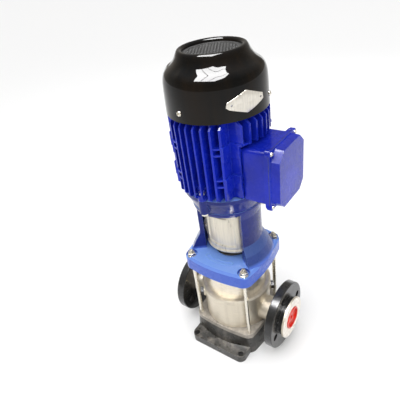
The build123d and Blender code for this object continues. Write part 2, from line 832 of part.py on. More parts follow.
def main():
    """Builds every sub-part and writes it."""
    save("foot", make_foot())

    save("casing_flange", make_casing_flange())
    save("pump_casing", make_casing())
    save("suction_flange", make_port_flange(-1))
    save("discharge_flange", make_port_flange(1))
    save("suction_plug", make_port_plug(-1))
    save("discharge_plug", make_port_plug(1))
    save("casing_plugs", *[make_casing_plug(turn) for turn in casing_plug_turns])
    save("outer_sleeve", tube(sleeve_r, sleeve_r - sleeve_wall, sleeve_bottom, sleeve_top))
    save("head_cover", make_head_cover())

    rods = [rod(rod_r, rod_bottom, rod_top, x * rod_place, y * rod_place) for x, y in corners]
    washer = tube(10, rod_r, stool_recess_floor, stool_recess_floor + 2)
    washers = [Pos(x * rod_place, y * rod_place, 0) * washer for x, y in corners]
    nuts = []
    for x, y in corners:
        nut = hexagon(16, stool_recess_floor + 2, stool_recess_floor + 10, x * rod_place, y * rod_place, 10)
        nuts.append(nut - rod(rod_r, 240, 280, x * rod_place, y * rod_place))
    save("tie_rods", *rods)
    save("tie_rod_washers", *washers)
    save("tie_rod_nuts", *nuts)

    save("inlet_bowl", make_inlet_bowl())
    save("shaft_bush", make_bush())
    stages = range(stage_count)
    save("stage_casings", *[make_stage_casing(k) for k in stages])
    save("impellers", *[make_impeller(k) for k in stages])
    save("diffusers", *[make_diffuser(k) for k in stages])
    spacers = []
    for k in stages:
        low = stage_floor(k) + 22
        high = stage_floor(k + 1) + 10 if k < stage_count - 1 else 233
        spacers.append(make_spacer(low, high))
    save("shaft_spacers", *spacers)
    save("shaft_nut", hexagon(20, 107, 115) - rod(shaft_r, 100, 120))
    pin_height = coupling_bottom + 24
    pin = Pos(0, 0, pin_height) * Rot(90, 0, 0) * Cylinder(2.5, 50)
    save("pump_shaft", rod(shaft_r, casing_bottom + 10, coupling_step) - pin)
    save("coupling_pin", pin)
    save("shaft_key", make_shaft_key())
    save("clamp_ring", tube(stage_r, 56, stage_floor(stage_count), 228))
    save("seal_seat", tube(24, 9.5, 243, 250))
    save("seal_ring", tube(18, shaft_r, 233, 242.8))

    save("motor_stool", make_stool())
    save("front_guard", make_guard(-1))
    save("rear_guard", make_guard(1))
    save("guard_screws", *[make_guard_screw(x, y) for x, y in corners])

    save("coupling_halves", make_coupling_half(1), make_coupling_half(-1))
    screws = [make_coupling_screw(x, z) for x in (-19, 19) for z in (coupling_bottom + 18, coupling_top - 18)]
    save("coupling_screws", *screws)

    save("lower_shield", make_lower_shield())
    save("motor_frame", make_frame())
    save("upper_shield", make_upper_shield())
    save("stator_core", tube(frame_bore_r, rotor_r + air_gap, core_bottom, core_top))
    save("windings", tube(62, 44, core_top, core_top + 18), tube(62, 44, core_bottom - 18, core_bottom))
    save("rotor_core", tube(rotor_r, 16, core_bottom - 6, core_top + 6))
    save("motor_shaft", make_motor_shaft())
    bearings = (lower_bearing_bottom, upper_bearing_bottom)
    save("bearing_outer_races", *[make_bearing_outer(low) for low in bearings])
    save("bearing_inner_races", *[make_bearing_inner(low, 12.5) for low in bearings])

    save("fan", make_fan())
    save("fan_cowl", make_cowl())
    save("cowl_grille", make_grille())

    save("terminal_box", make_box())
    save("terminal_lid", make_lid())
    save("lid_gasket", make_gasket())
    save("lid_screws", *[make_lid_screw(y, z) for y, z in lid_screw_places()])
    save("terminal_block", make_terminal_block())
    save("rating_plate", make_rating_plate())
    cowl_screw = cross_rod(2.4, 88, 98, z=cowl_screw_height) + cross_rod(5, 97.8, 101, z=cowl_screw_height)
    save("cowl_screws", *around(cowl_screw, [cowl_screw_turn + 120 * k for k in range(3)]))
    reach = motor_bolt_circle / 2
    stool_screw = rod(4, 391, 420, reach, 0) + hexagon(13, 384, 392, reach, 0)
    save("stool_screws", *around(stool_screw, [45, 135, 225, 315]))
    save("cable_gland", make_gland())
    save("gland_nut", make_gland_nut())

    bolts = []
    nuts = []
    for turn in quarter_turns:
        bolt = rod(4, 405, 455, through_bolt_r, 0) + hexagon(13, 455, 461, through_bolt_r, 0, 30)
        nut = hexagon(13, 405.5, 412, through_bolt_r, 0, 30) - rod(4, 400, 420, through_bolt_r, 0)
        bolts.append(Rot(0, 0, turn) * bolt)
        nuts.append(Rot(0, 0, turn) * nut)
    save("shield_bolts", *bolts)
    save("shield_bolt_nuts", *nuts)


main()
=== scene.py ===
import json
import logging
import math
from dataclasses import dataclass, field
from enum import Enum
from typing import Iterable, Sequence

import bmesh
import bpy
from mathutils import Matrix, Vector


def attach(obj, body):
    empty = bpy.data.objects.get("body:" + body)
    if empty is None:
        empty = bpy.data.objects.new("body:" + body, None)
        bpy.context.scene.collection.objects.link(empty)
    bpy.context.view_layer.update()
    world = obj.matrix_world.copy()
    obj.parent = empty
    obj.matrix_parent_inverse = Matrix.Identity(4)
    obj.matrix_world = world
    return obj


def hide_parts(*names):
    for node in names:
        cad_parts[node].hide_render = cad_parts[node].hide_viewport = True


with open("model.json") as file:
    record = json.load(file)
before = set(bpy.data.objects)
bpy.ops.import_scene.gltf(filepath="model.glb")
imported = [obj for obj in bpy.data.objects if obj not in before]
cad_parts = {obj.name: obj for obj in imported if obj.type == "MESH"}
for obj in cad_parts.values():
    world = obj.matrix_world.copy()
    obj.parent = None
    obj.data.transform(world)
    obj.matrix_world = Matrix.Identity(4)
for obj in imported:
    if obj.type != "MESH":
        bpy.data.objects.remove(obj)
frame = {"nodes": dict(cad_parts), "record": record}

LOG = logging.getLogger("pump")
MM = 0.001
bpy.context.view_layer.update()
PORT_HEIGHT = 90.0
CORNERS = ((1, 1), (-1, 1), (-1, -1), (1, -1))
# Corners of the cowl's bare plate: turn about the axis in degrees, height in millimetres.
PLATE_OUTLINE = (
    (-46.2, 644.5), (-47.5, 636.0), (-44.4, 631.5), (-24.5, 619.5),
    (-0.9, 632.0), (-1.9, 642.5), (-25.0, 659.0))
# Place from straight down to straight up, and colour, of each stop of the surround.
SKY_STOPS = (
    (0.0, (0.8, 0.8, 0.8)), (0.46, (0.62, 0.60, 0.56)), (0.52, (0.40, 0.38, 0.35)),
    (0.70, (0.36, 0.34, 0.31)), (0.85, (0.50, 0.50, 0.50)), (1.0, (0.75, 0.77, 0.80)))
Point = tuple[float, float, float]
Profile = Sequence[tuple[float, float]]


class Axis(Enum):
    """Direction in which a turned or extruded piece points."""

    UP = Vector((0, 0, 1))
    ALONG_X = Vector((1, 0, 0))
    AGAINST_X = Vector((-1, 0, 0))


class Body(Enum):
    """Rigid bodies of the pump."""

    PUMP = "pump"
    ROTOR = "rotor"
    SUCTION_FLANGE = "suction_flange"
    DISCHARGE_FLANGE = "discharge_flange"
    SUCTION_PLUG = "suction_plug"
    DISCHARGE_PLUG = "discharge_plug"


# ------------------------------------------------------------------ shader graph
class Graph:
    """Adds and links the shader nodes of one material."""

    def __init__(self, name: str) -> None:
        """Starts a material with a principled shader.

        Args:
            name: Name of the material.
        """
        self.material = bpy.data.materials.new(name)
        self.material.use_nodes = True
        self.tree = self.material.node_tree
        self.shader = self.tree.nodes["Principled BSDF"]
        coordinates = self.tree.nodes.new("ShaderNodeTexCoord")
        self.place = coordinates.outputs["Object"]

    def set(self, **values: float | tuple[float, ...]) -> None:
        """Sets constants on the shader's own sockets.

        Args:
            **values: Value of each socket, with underscores for the spaces in its name.
        """
        for name, value in values.items():
            self.shader.inputs[name.replace("_", " ")].default_value = value

    def link(self, source: bpy.types.NodeSocket, target: str) -> None:
        """Links a socket to an input of the shader."""
        self.tree.links.new(source, self.shader.inputs[target])

    def scaled(self, scale: Point) -> bpy.types.NodeSocket:
        """Stretches the piece's own coordinates.

        Args:
            scale: Factors along X, Y and Z.

        Returns:
            The stretched coordinates.
        """
        mapping = self.tree.nodes.new("ShaderNodeMapping")
        mapping.inputs["Scale"].default_value = scale
        self.tree.links.new(self.place, mapping.inputs["Vector"])
        return mapping.outputs["Vector"]

    def noise(self, scale: float, detail: float = 4.0, roughness: float = 0.55,
              vector: bpy.types.NodeSocket | None = None) -> bpy.types.NodeSocket:
        """Adds a noise texture.

        Args:
            scale: Size of the noise, in turns per metre.
            detail: Number of octaves.
            roughness: Weight of the finer octaves.
            vector: Coordinates, or None for the piece's own.

        Returns:
            The noise's value, from 0 to 1.
        """
        texture = self.tree.nodes.new("ShaderNodeTexNoise")
        texture.inputs["Scale"].default_value = scale
        texture.inputs["Detail"].default_value = detail
        texture.inputs["Roughness"].default_value = roughness
        self.tree.links.new(vector or self.place, texture.inputs["Vector"])
        return texture.outputs["Fac"]

    def cells(self, scale: float) -> bpy.types.NodeSocket:
        """Adds a cell texture.

        Args:
            scale: Number of cells in a metre.

        Returns:
            The distance to the middle of the nearest cell.
        """
        texture = self.tree.nodes.new("ShaderNodeTexVoronoi")
        texture.inputs["Scale"].default_value = scale
        self.tree.links.new(self.place, texture.inputs["Vector"])
        return texture.outputs["Distance"]

    def ramp(self, value: bpy.types.NodeSocket, stops: Sequence[tuple[float, tuple]]) -> bpy.types.NodeSocket:
        """Maps a value to colours.

        Args:
            value: Number from 0 to 1.
            stops: Place and colour of each stop.

        Returns:
            The colour.
        """
        ramp = self.tree.nodes.new("ShaderNodeValToRGB")
        while len(ramp.color_ramp.elements) < len(stops):
            ramp.color_ramp.elements.new(0.5)
        for element, (place, colour) in zip(ramp.color_ramp.elements, stops):
            element.position = place
            element.color = (*colour, 1) if len(colour) == 3 else colour
        self.tree.links.new(value, ramp.inputs["Fac"])
        return ramp.outputs["Color"]

    def fade(self, value: bpy.types.NodeSocket, low: float, high: float,
             start: float = 0.0, end: float = 1.0) -> bpy.types.NodeSocket:
        """Maps a range of values to another range, held at its ends.

        Args:
            value: Number to map.
            low: Value that gives start.
            high: Value that gives end.
            start: Lowest result.
            end: Highest result.

        Returns:
            The mapped number.
        """
        node = self.tree.nodes.new("ShaderNodeMapRange")
        node.inputs["From Min"].default_value = low
        node.inputs["From Max"].default_value = high
        node.inputs["To Min"].default_value = start
        node.inputs["To Max"].default_value = end
        self.tree.links.new(value, node.inputs["Value"])
        return node.outputs["Result"]

    def math(self, operation: str, first: bpy.types.NodeSocket,
             second: bpy.types.NodeSocket | float) -> bpy.types.NodeSocket:
        """Combines two numbers.

        Args:
            operation: Name of the operation.
            first: First number.
            second: Second number, as a socket or a constant.

        Returns:
            The result.
        """
        node = self.tree.nodes.new("ShaderNodeMath")
        node.operation = operation
        self.tree.links.new(first, node.inputs[0])
        if isinstance(second, (int, float)):
            node.inputs[1].default_value = second
        else:
            self.tree.links.new(second, node.inputs[1])
        return node.outputs["Value"]

    def mix(self, factor: bpy.types.NodeSocket, first: bpy.types.NodeSocket | tuple,
            second: bpy.types.NodeSocket | tuple) -> bpy.types.NodeSocket:
        """Mixes two colours.

        Args:
            factor: Share of the second colour.
            first: Colour or socket.
            second: Colour or socket.

        Returns:
            The mixed colour.
        """
        node = self.tree.nodes.new("ShaderNodeMix")
        node.data_type = "RGBA"
        self.tree.links.new(factor, node.inputs[0])
        for index, value in ((6, first), (7, second)):
            if isinstance(value, tuple):
                node.inputs[index].default_value = (*value, 1)
            else:
                self.tree.links.new(value, node.inputs[index])
        return node.outputs[2]

    def height(self, axis: int = 2) -> bpy.types.NodeSocket:
        """Reads one coordinate of the piece.

        Args:
            axis: 0, 1 or 2 for X, Y or Z.

        Returns:
            The coordinate in metres.
        """
        split = self.tree.nodes.new("ShaderNodeSeparateXYZ")
        self.tree.links.new(self.place, split.inputs["Vector"])
        return split.outputs[axis]

    def facing(self, axis: int = 2) -> bpy.types.NodeSocket:
        """Reads one component of the surface's own normal.

        Args:
            axis: 0, 1 or 2 for X, Y or Z.

        Returns:
            The component, from -1 to 1.
        """
        geometry = self.tree.nodes.new("ShaderNodeNewGeometry")
        split = self.tree.nodes.new("ShaderNodeSeparateXYZ")
        self.tree.links.new(geometry.outputs["Normal"], split.inputs["Vector"])
        return split.outputs[axis]

    def edges(self, width: float) -> bpy.types.NodeSocket:
        """Finds sharp edges.

        Args:
            width: Reach of the edge mask, in metres.

        Returns:
            A number near 1 on edges and 0 on flats.
        """
        round_off = self.tree.nodes.new("ShaderNodeBevel")
        round_off.samples = 4
        round_off.inputs["Radius"].default_value = width
        geometry = self.tree.nodes.new("ShaderNodeNewGeometry")
        dot = self.tree.nodes.new("ShaderNodeVectorMath")
        dot.operation = "DOT_PRODUCT"
        self.tree.links.new(round_off.outputs["Normal"], dot.inputs[0])
        self.tree.links.new(geometry.outputs["Normal"], dot.inputs[1])
        return self.fade(dot.outputs["Value"], 0.98, 0.80)

    def relief(self, height: bpy.types.NodeSocket, depth: float, strength: float = 1.0,
               round_edges: float = 0.0) -> None:
        """Adds surface relief and, where asked, rounds the look of edges.

        Args:
            height: Relief from 0 to 1.
            depth: Real depth of the relief, in metres.
            strength: Share of the relief that shows.
            round_edges: Radius of the softened edges, in metres.
        """
        bump = self.tree.nodes.new("ShaderNodeBump")
        bump.inputs["Strength"].default_value = strength
        bump.inputs["Distance"].default_value = depth
        self.tree.links.new(height, bump.inputs["Height"])
        if round_edges > 0:
            soft = self.tree.nodes.new("ShaderNodeBevel")
            soft.samples = 4
            soft.inputs["Radius"].default_value = round_edges
            self.tree.links.new(soft.outputs["Normal"], bump.inputs["Normal"])
        self.link(bump.outputs["Normal"], "Normal")


# ------------------------------------------------------------------ finishes
@dataclass(frozen=True)
class Enamel:
    """Gloss paint over a casting, paler along its edges where it is thinner and where a painted highlight is
    laid, with painted light on upward faces and below a height where asked.
    """

    name: str
    colour: tuple[float, float, float]
    pale: tuple[float, float, float]
    roughness: float = 0.25
    coat: float = 0.5
    skin_depth: float = 0.0003
    edge: float = 0.0012
    # Painted light: share of the pale colour laid on upward faces, and a brighter tone painted below a
    # height.
    painted_top_light: float = 0.0
    painted_light_tone: tuple[float, float, float] | None = None
    painted_light_height: float = 0.0

    def material(self) -> bpy.types.Material:
        """Builds the paint.

        Returns:
            The material.
        """
        graph = Graph(self.name)
        cloud = graph.noise(14, 5)
        deep = tuple(0.66 * part for part in self.colour)
        base = graph.mix(graph.fade(cloud, 0.35, 0.68), deep, self.colour)
        # Painted light: below the given height the paint takes a brighter tone that stands for the light
        # falling on the low flange.
        if self.painted_light_tone:
            lit_below = graph.fade(graph.height(), self.painted_light_height - 0.006, self.painted_light_height, 1.0, 0.0)
            base = graph.mix(lit_below, base, self.painted_light_tone)
        # Paler edges: the paint is thinner there, and the pale edge colour is also a painted highlight,
        # broken up by noise.
        edge_break_up = graph.fade(graph.noise(75, 4), 0.3, 0.6, 0.15, 0.6)
        worn_and_highlit = graph.math("MULTIPLY", graph.edges(self.edge), edge_break_up)
        base = graph.mix(worn_and_highlit, base, self.pale)
        # Painted light: upward faces are mixed towards the pale colour, as if lit from above.
        if self.painted_top_light > 0:
            upward = graph.fade(graph.facing(), 0.35, 0.95, 0.0, self.painted_top_light)
            base = graph.mix(upward, base, self.pale)
        specks = graph.fade(graph.noise(420, 3), 0.70, 0.78, 0.0, 0.4)
        base = graph.mix(specks, base, (0.30, 0.34, 0.55))
        graph.link(base, "Base Color")
        matt = graph.fade(graph.noise(60, 5), 0.3, 0.8, self.roughness * 0.7, self.roughness * 1.6)
        graph.link(matt, "Roughness")
        graph.set(Specular_IOR_Level=0.12, Coat_Weight=self.coat, Coat_Roughness=0.05, Coat_IOR=1.36)
        graph.relief(graph.noise(170, 4), self.skin_depth, 0.45, 0.0006)
        return graph.material


@dataclass(frozen=True)
class GlossBlack:
    """Deep gloss black paint with a faint warm cast and fine dust."""

    name: str = "gloss_black"

    def material(self) -> bpy.types.Material:
        """Builds the paint.

        Returns:
            The material.
        """
        graph = Graph(self.name)
        streaks = graph.noise(1.0, 4, 0.6, graph.scaled((26, 26, 1.2)))
        base = graph.mix(graph.fade(streaks, 0.42, 0.7), (0.002, 0.002, 0.002), (0.010, 0.006, 0.003))
        specks = graph.fade(graph.noise(900, 2), 0.70, 0.79, 0.0, 0.15)
        base = graph.mix(specks, base, (0.25, 0.23, 0.20))
        graph.link(base, "Base Color")
        graph.link(graph.fade(graph.noise(35, 6), 0.35, 0.75, 0.04, 0.14), "Roughness")
        graph.set(Specular_IOR_Level=0.04, Coat_Weight=0.62, Coat_Roughness=0.015, Coat_IOR=1.36)
        graph.relief(graph.noise(20, 2), 0.0012, 0.2)
        return graph.material


@dataclass(frozen=True)
class CastSkin:
    """Painted or bare casting with a grainy skin and paler patches that gather on upward faces; its paler
    edges are partly wear and partly a painted highlight.
    """

    name: str
    dark: tuple[float, float, float]
    worn_and_highlit: tuple[float, float, float]
    wear: float = 0.5
    grain: float = 420.0
    depth: float = 0.0006
    gloss: float = 0.45

    def material(self) -> bpy.types.Material:
        """Builds the casting's skin.

        Returns:
            The material.
        """
        graph = Graph(self.name)
        patches = graph.fade(graph.noise(38, 8, 0.65), 0.62 - self.wear * 0.25, 0.78)
        # Paler patches, more of them on upward faces.
        upward = graph.fade(graph.facing(), 0.2, 0.95, 0.35, 1.0)
        share = graph.math("MULTIPLY", patches, upward)
        # Paler edges, partly wear and partly a painted highlight.
        edge = graph.math("MULTIPLY", graph.edges(0.0014), graph.fade(graph.noise(120, 5), 0.35, 0.6))
        share = graph.math("MAXIMUM", share, graph.math("MULTIPLY", edge, 0.8))
        mottled = graph.mix(graph.fade(graph.noise(160, 6), 0.3, 0.7), self.dark,
                            tuple(1.7 * part + 0.004 for part in self.dark))
        graph.link(graph.mix(share, mottled, self.worn_and_highlit), "Base Color")
        matt = graph.fade(graph.noise(70, 6), 0.3, 0.75, self.gloss * 0.65, self.gloss * 1.5)
        graph.link(matt, "Roughness")
        graph.set(IOR=1.5, Coat_Weight=0.15, Coat_Roughness=0.3)
        pits = graph.math("MULTIPLY", graph.cells(150), 0.25)
        skin = graph.math("ADD", graph.noise(self.grain, 5, 0.7), pits)
        graph.relief(skin, self.depth, 0.6, 0.0012)
        return graph.material


@dataclass(frozen=True)
class Steel:
    """Stainless or plated steel with a brushed grain and faint stains."""

    name: str
    colour: tuple[float, float, float]
    stain: tuple[float, float, float]
    roughness: float = 0.3
    grain: Point = (60.0, 60.0, 2600.0)
    stains: float = 0.35
    streaks: float = 0.0
    metal: float = 1.0

    def material(self) -> bpy.types.Material:
        """Builds the metal.

        Returns:
            The material.
        """
        graph = Graph(self.name)
        lines = graph.noise(1.0, 3, 0.6, graph.scaled(self.grain))
        shade = tuple(0.78 * part for part in self.colour)
        base = graph.mix(graph.fade(lines, 0.3, 0.7), shade, self.colour)
        spots = graph.fade(graph.noise(24, 7, 0.6), 0.52, 0.8)
        base = graph.mix(graph.math("MULTIPLY", spots, self.stains), base, self.stain)
        if self.streaks > 0:
            bands = graph.noise(1.0, 3, 0.6, graph.scaled((30, 30, 1.5)))
            base = graph.mix(graph.fade(bands, 0.50, 0.66, 0.0, self.streaks), base, (0.16, 0.115, 0.07))
        graph.link(base, "Base Color")
        graph.link(graph.fade(lines, 0.25, 0.75, self.roughness * 0.75, self.roughness * 1.35), "Roughness")
        graph.set(Metallic=self.metal, Anisotropic=0.35)
        graph.relief(lines, 0.00005, 0.3, 0.0004)
        return graph.material


@dataclass(frozen=True)
class Moulding:
    """Moulded plastic or rubber with a fine grain."""

    name: str
    colour: tuple[float, float, float]
    roughness: float = 0.4
    coat: float = 0.0
    depth: float = 0.0001

    def material(self) -> bpy.types.Material:
        """Builds the plastic.

        Returns:
            The material.
        """
        graph = Graph(self.name)
        deep = tuple(0.75 * part for part in self.colour)
        graph.link(graph.mix(graph.fade(graph.noise(40, 4), 0.3, 0.7), deep, self.colour), "Base Color")
        matt = graph.fade(graph.noise(120, 4), 0.3, 0.7, self.roughness * 0.8, self.roughness * 1.25)
        graph.link(matt, "Roughness")
        graph.set(IOR=1.5, Coat_Weight=self.coat, Coat_Roughness=0.1)
        graph.relief(graph.noise(700, 2), self.depth, 0.4, 0.0004)
        return graph.material


@dataclass(frozen=True)
class Laminations:
    """Stack of thin sheets, with lines across the axis."""

    name: str = "laminations"

    def material(self) -> bpy.types.Material:
        """Builds the stack's finish.

        Returns:
            The material.
        """
        graph = Graph(self.name)
        lines = graph.noise(1.0, 1, 0.5, graph.scaled((2.0, 2.0, 2000.0)))
        graph.link(graph.ramp(lines, [(0.3, (0.10, 0.10, 0.11)), (0.7, (0.34, 0.34, 0.36))]), "Base Color")
        graph.set(Metallic=1.0, Roughness=0.45)
        graph.relief(lines, 0.0002, 0.6)
        return graph.material


@dataclass(frozen=True)
class Winding:
    """Varnished copper wire laid round the axis."""

    name: str = "winding"

    def material(self) -> bpy.types.Material:
        """Builds the winding's finish.

        Returns:
            The material.
        """
        graph = Graph(self.name)
        wires = graph.noise(1.0, 2, 0.5, graph.scaled((90.0, 90.0, 1500.0)))
        graph.link(graph.ramp(wires, [(0.25, (0.16, 0.05, 0.02)), (0.75, (0.62, 0.27, 0.10))]), "Base Color")
        graph.set(Metallic=0.7, Roughness=0.35, Coat_Weight=0.6)
        graph.relief(wires, 0.0006, 0.8)
        return graph.material


@dataclass
class Paintbox:
    """The finishes of the pump, one for each material slot of the record."""

    ready: dict[str, bpy.types.Material] = field(default_factory=dict)

    def mix_all(self) -> None:
        """Builds every finish once."""
        stain = (0.42, 0.30, 0.19)
        finishes = {
            "cast_black": CastSkin("cast_black", (0.014, 0.013, 0.011), (0.30, 0.27, 0.23), 0.6, gloss=0.32),
            "flange_grey": CastSkin("flange_grey", (0.20, 0.18, 0.155), (0.55, 0.50, 0.43), 0.7, 500, 0.0004),
            "flange_black": CastSkin("flange_black", (0.008, 0.008, 0.008), (0.14, 0.13, 0.12), 0.12, 350,
                                     0.0002, 0.2),
            "steel_satin": Steel("steel_satin", (0.80, 0.73, 0.60), stain, 0.36, streaks=0.2, metal=0.8),
            "steel_bright": Steel("steel_bright", (0.90, 0.83, 0.69), stain, 0.3, streaks=0.2, metal=0.8),
            "guard_steel": Steel("guard_steel", (0.76, 0.71, 0.60), stain, 0.32, (220, 220, 12), 0.12,
                                 metal=0.6),
            "zinc": Steel("zinc", (0.86, 0.82, 0.72), (0.50, 0.42, 0.30), 0.26, (300, 300, 300), 0.4),
            "shaft_steel": Steel("shaft_steel", (0.56, 0.56, 0.57), (0.3, 0.28, 0.26), 0.2),
            "rotor_alloy": Steel("rotor_alloy", (0.84, 0.80, 0.72), (0.5, 0.46, 0.4), 0.42, (500, 500, 40),
                                 0.25),
            # stool_blue carries painted light: upward faces are mixed towards the pale blue, and everything
            # below 270 mm takes a brighter tone for the lit flange.
            "stool_blue": Enamel("stool_blue", (0.013, 0.024, 0.21), (0.26, 0.46, 0.95), painted_top_light=0.68,
                                 painted_light_tone=(0.062, 0.13, 0.56), painted_light_height=0.270),
            "motor_blue": Enamel("motor_blue", (0.007, 0.022, 0.50), (0.05, 0.13, 0.85)),
            # The raised line's pale blue is a painted highlight, paler than the stool's own blue.
            "highlit_line_blue": Enamel("highlit_line_blue", (0.22, 0.42, 0.90), (0.50, 0.68, 0.97)),
            "grille_black": Moulding("grille_black", (0.004, 0.003, 0.002), 0.6),
            "cowl_black": GlossBlack(),
            "plug_red": Moulding("plug_red", (0.80, 0.030, 0.012), 0.3, 0.2),
            "black_plastic": Moulding("black_plastic", (0.012, 0.011, 0.010), 0.3, 0.3),
            "carbon": Moulding("carbon", (0.03, 0.03, 0.032), 0.25),
            "copper": Winding(),
            "bronze": Steel("bronze", (0.62, 0.40, 0.18), (0.3, 0.18, 0.08), 0.3),
            "core_steel": Laminations(),
            "face_cream": CastSkin("face_cream", (0.66, 0.62, 0.56), (0.90, 0.87, 0.80), 0.7, 600, 0.0002,
                                   0.5),
        }
        self.ready = {name: finish.material() for name, finish in finishes.items()}

    def paint(self, piece: bpy.types.Object, slot: str, finish: str | None = None) -> None:
        """Gives a piece one finish, the slot's own unless another is named.

        Args:
            piece: Object to paint.
            slot: Name of the record's material slot.
            finish: Name of a finish that differs from the slot's own, or None.
        """
        piece.data.materials.clear()
        piece.data.materials.append(self.ready[finish or slot])


PAINT = Paintbox()


# ------------------------------------------------------------------ mesh tools
def add_object(name: str, mesh: bpy.types.Mesh) -> bpy.types.Object:
    """Puts a mesh in the scene.

    Args:
        name: Name of the piece.
        mesh: Its mesh.

    Returns:
        The new object.
    """
    piece = bpy.data.objects.new(name, mesh)
    bpy.context.scene.collection.objects.link(piece)
    return piece


def smooth(mesh: bpy.types.Mesh, angle: float = 35.0) -> None:
    """Shades a mesh smooth, with edges above an angle kept sharp."""
    mesh.shade_smooth()
    mesh.set_sharp_from_angle(angle=math.radians(angle))


def finished(build: bmesh.types.BMesh, name: str, angle: float = 35.0) -> bpy.types.Object:
    """Turns a built mesh into a smoothly shaded piece.

    Args:
        build: The built mesh, which is freed.
        name: Name of the piece.
        angle: Largest angle in degrees that is shaded smooth.

    Returns:
        The piece.
    """
    mesh = bpy.data.meshes.new(name)
    build.to_mesh(mesh)
    build.free()
    smooth(mesh, angle)
    return add_object(name, mesh)


def bridge(build: bmesh.types.BMesh, loops: Sequence[Sequence[bmesh.types.BMVert]],
           closed: bool = False) -> None:
    """Joins each loop of points to the next by faces.

    Args:
        build: Mesh to add to.
        loops: Loops with equally many points.
        closed: Whether the last loop joins the first.
    """
    pairs = list(zip(loops, loops[1:]))
    if closed:
        pairs.append((loops[-1], loops[0]))
    for first, second in pairs:
        for index in range(len(first)):
            after = (index + 1) % len(first)
            build.faces.new([first[index], first[after], second[after], second[index]])


def eased(value: float, start: float, end: float) -> float:
    """Rises smoothly from 0 to 1 between two values.

    Args:
        value: Place on the way.
        start: Value up to which the result is 0.
        end: Value from which the result is 1.

    Returns:
        The height reached, from 0 to 1.
    """
    share = min(1.0, max(0.0, (value - start) / (end - start)))
    return share * share * (3 - 2 * share)


def lathe(name: str, profile: Profile, steps: int = 96, turn: Matrix | None = None,
          closed: bool = True, angle: float = 35.0) -> bpy.types.Object:
    """Turns a profile about Z.

    Args:
        name: Name of the piece.
        profile: Radius and height of each point, in millimetres.
        steps: Number of steps round the axis.
        turn: Placement of the piece, or None to leave it on the axis.
        closed: Whether the last point joins the first.
        angle: Largest angle in degrees that is shaded smooth.

    Returns:
        The piece.
    """
    build = bmesh.new()
    rings = []
    for radius, height in profile:
        if radius < 1e-6:
            rings.append([build.verts.new((0, 0, height * MM))] * steps)
            continue
        ring = []
        for step in range(steps):
            theta = 2 * math.pi * step / steps
            x, y = radius * MM * math.cos(theta), radius * MM * math.sin(theta)
            ring.append(build.verts.new((x, y, height * MM)))
        rings.append(ring)
    pairs = list(zip(rings, rings[1:]))
    if closed:
        pairs.append((rings[-1], rings[0]))
    for low, high in pairs:
        for step in range(steps):
            after = (step + 1) % steps
            corners = [low[step], low[after], high[after], high[step]]
            unique = list(dict.fromkeys(corners))
            if len(unique) >= 3:
                build.faces.new(unique)
    bmesh.ops.recalc_face_normals(build, faces=build.faces)
    if turn is not None:
        build.transform(turn)
    return finished(build, name, angle)


def arc(centre: tuple[float, float], radius: float, start: float, end: float,
        steps: int) -> list[tuple[float, float]]:
    """Points along an arc, both ends included.

    Args:
        centre: Middle of the arc in millimetres.
        radius: Radius in millimetres.
        start: First angle in degrees.
        end: Last angle in degrees.
        steps: Number of steps.

    Returns:
        The points in millimetres.
    """
    points = []
    for step in range(steps + 1):
        theta = math.radians(start + (end - start) * step / steps)
        points.append((centre[0] + radius * math.cos(theta), centre[1] + radius * math.sin(theta)))
    return points


def prism(name: str, outline: Sequence[tuple[float, float]], low: float, high: float,
          turn: Matrix | None = None, bevel: float = 0.0) -> bpy.types.Object:
    """Raises an outline along Z.

    Args:
        name: Name of the piece.
        outline: Points in millimetres, in order.
        low: Lower height in millimetres.
        high: Upper height in millimetres.
        turn: Placement, or None.
        bevel: Width of the rounded edges in millimetres.

    Returns:
        The piece.
    """
    build = bmesh.new()
    bottom = [build.verts.new((x * MM, y * MM, low * MM)) for x, y in outline]
    top = [build.verts.new((x * MM, y * MM, high * MM)) for x, y in outline]
    build.faces.new(bottom[::-1])
    build.faces.new(top)
    for index in range(len(outline)):
        after = (index + 1) % len(outline)
        build.faces.new([bottom[index], bottom[after], top[after], top[index]])
    bmesh.ops.recalc_face_normals(build, faces=build.faces)
    if bevel > 0:
        bmesh.ops.bevel(build, geom=list(build.edges), offset=bevel * MM, segments=2, profile=0.6,
                        affect="EDGES", clamp_overlap=True)
    if turn is not None:
        build.transform(turn)
    return finished(build, name)


def placed(x: float, y: float, z: float, axis: Axis = Axis.UP, spin: float = 0.0) -> Matrix:
    """Placement that sends Z to an axis at a place.

    Args:
        x: Place in millimetres.
        y: Place in millimetres.
        z: Place in millimetres.
        axis: Direction of the piece's own Z.
        spin: Turn about that direction, in degrees.

    Returns:
        The placement.
    """
    aim = axis.value.to_track_quat("Z", "Y").to_matrix().to_4x4()
    return Matrix.Translation(Vector((x, y, z)) * MM) @ aim @ Matrix.Rotation(math.radians(spin), 4, "Z")


def about_axis(angle: float) -> Matrix:
    """Turn about the shaft's axis, in degrees."""
    return Matrix.Rotation(math.radians(angle), 4, "Z")


def join(name: str, pieces: Iterable[bpy.types.Object]) -> bpy.types.Object:
    """Joins pieces into one object.

    Args:
        name: Name of the joined piece.
        pieces: Objects to join.

    Returns:
        The joined object.
    """
    build = bmesh.new()
    for piece in pieces:
        copy = piece.data.copy()
        copy.transform(piece.matrix_world)
        build.from_mesh(copy)
        bpy.data.meshes.remove(copy)
        bpy.data.objects.remove(piece)
    return finished(build, name)


def softened(points: Profile, passes: int = 2) -> list[tuple[float, float]]:
    """Cuts the corners of a line so that it bends smoothly, with its ends kept.

    Args:
        points: Points of the line.
        passes: Number of times that each corner is cut.

    Returns:
        The smoother line.
    """
    line = list(points)
    for _ in range(passes):
        cut = [line[0]]
        for (ax, ay), (bx, by) in zip(line, line[1:]):
            cut.append((0.75 * ax + 0.25 * bx, 0.75 * ay + 0.25 * by))
            cut.append((0.25 * ax + 0.75 * bx, 0.25 * ay + 0.75 * by))
        cut.append(line[-1])
        line = cut
    return line


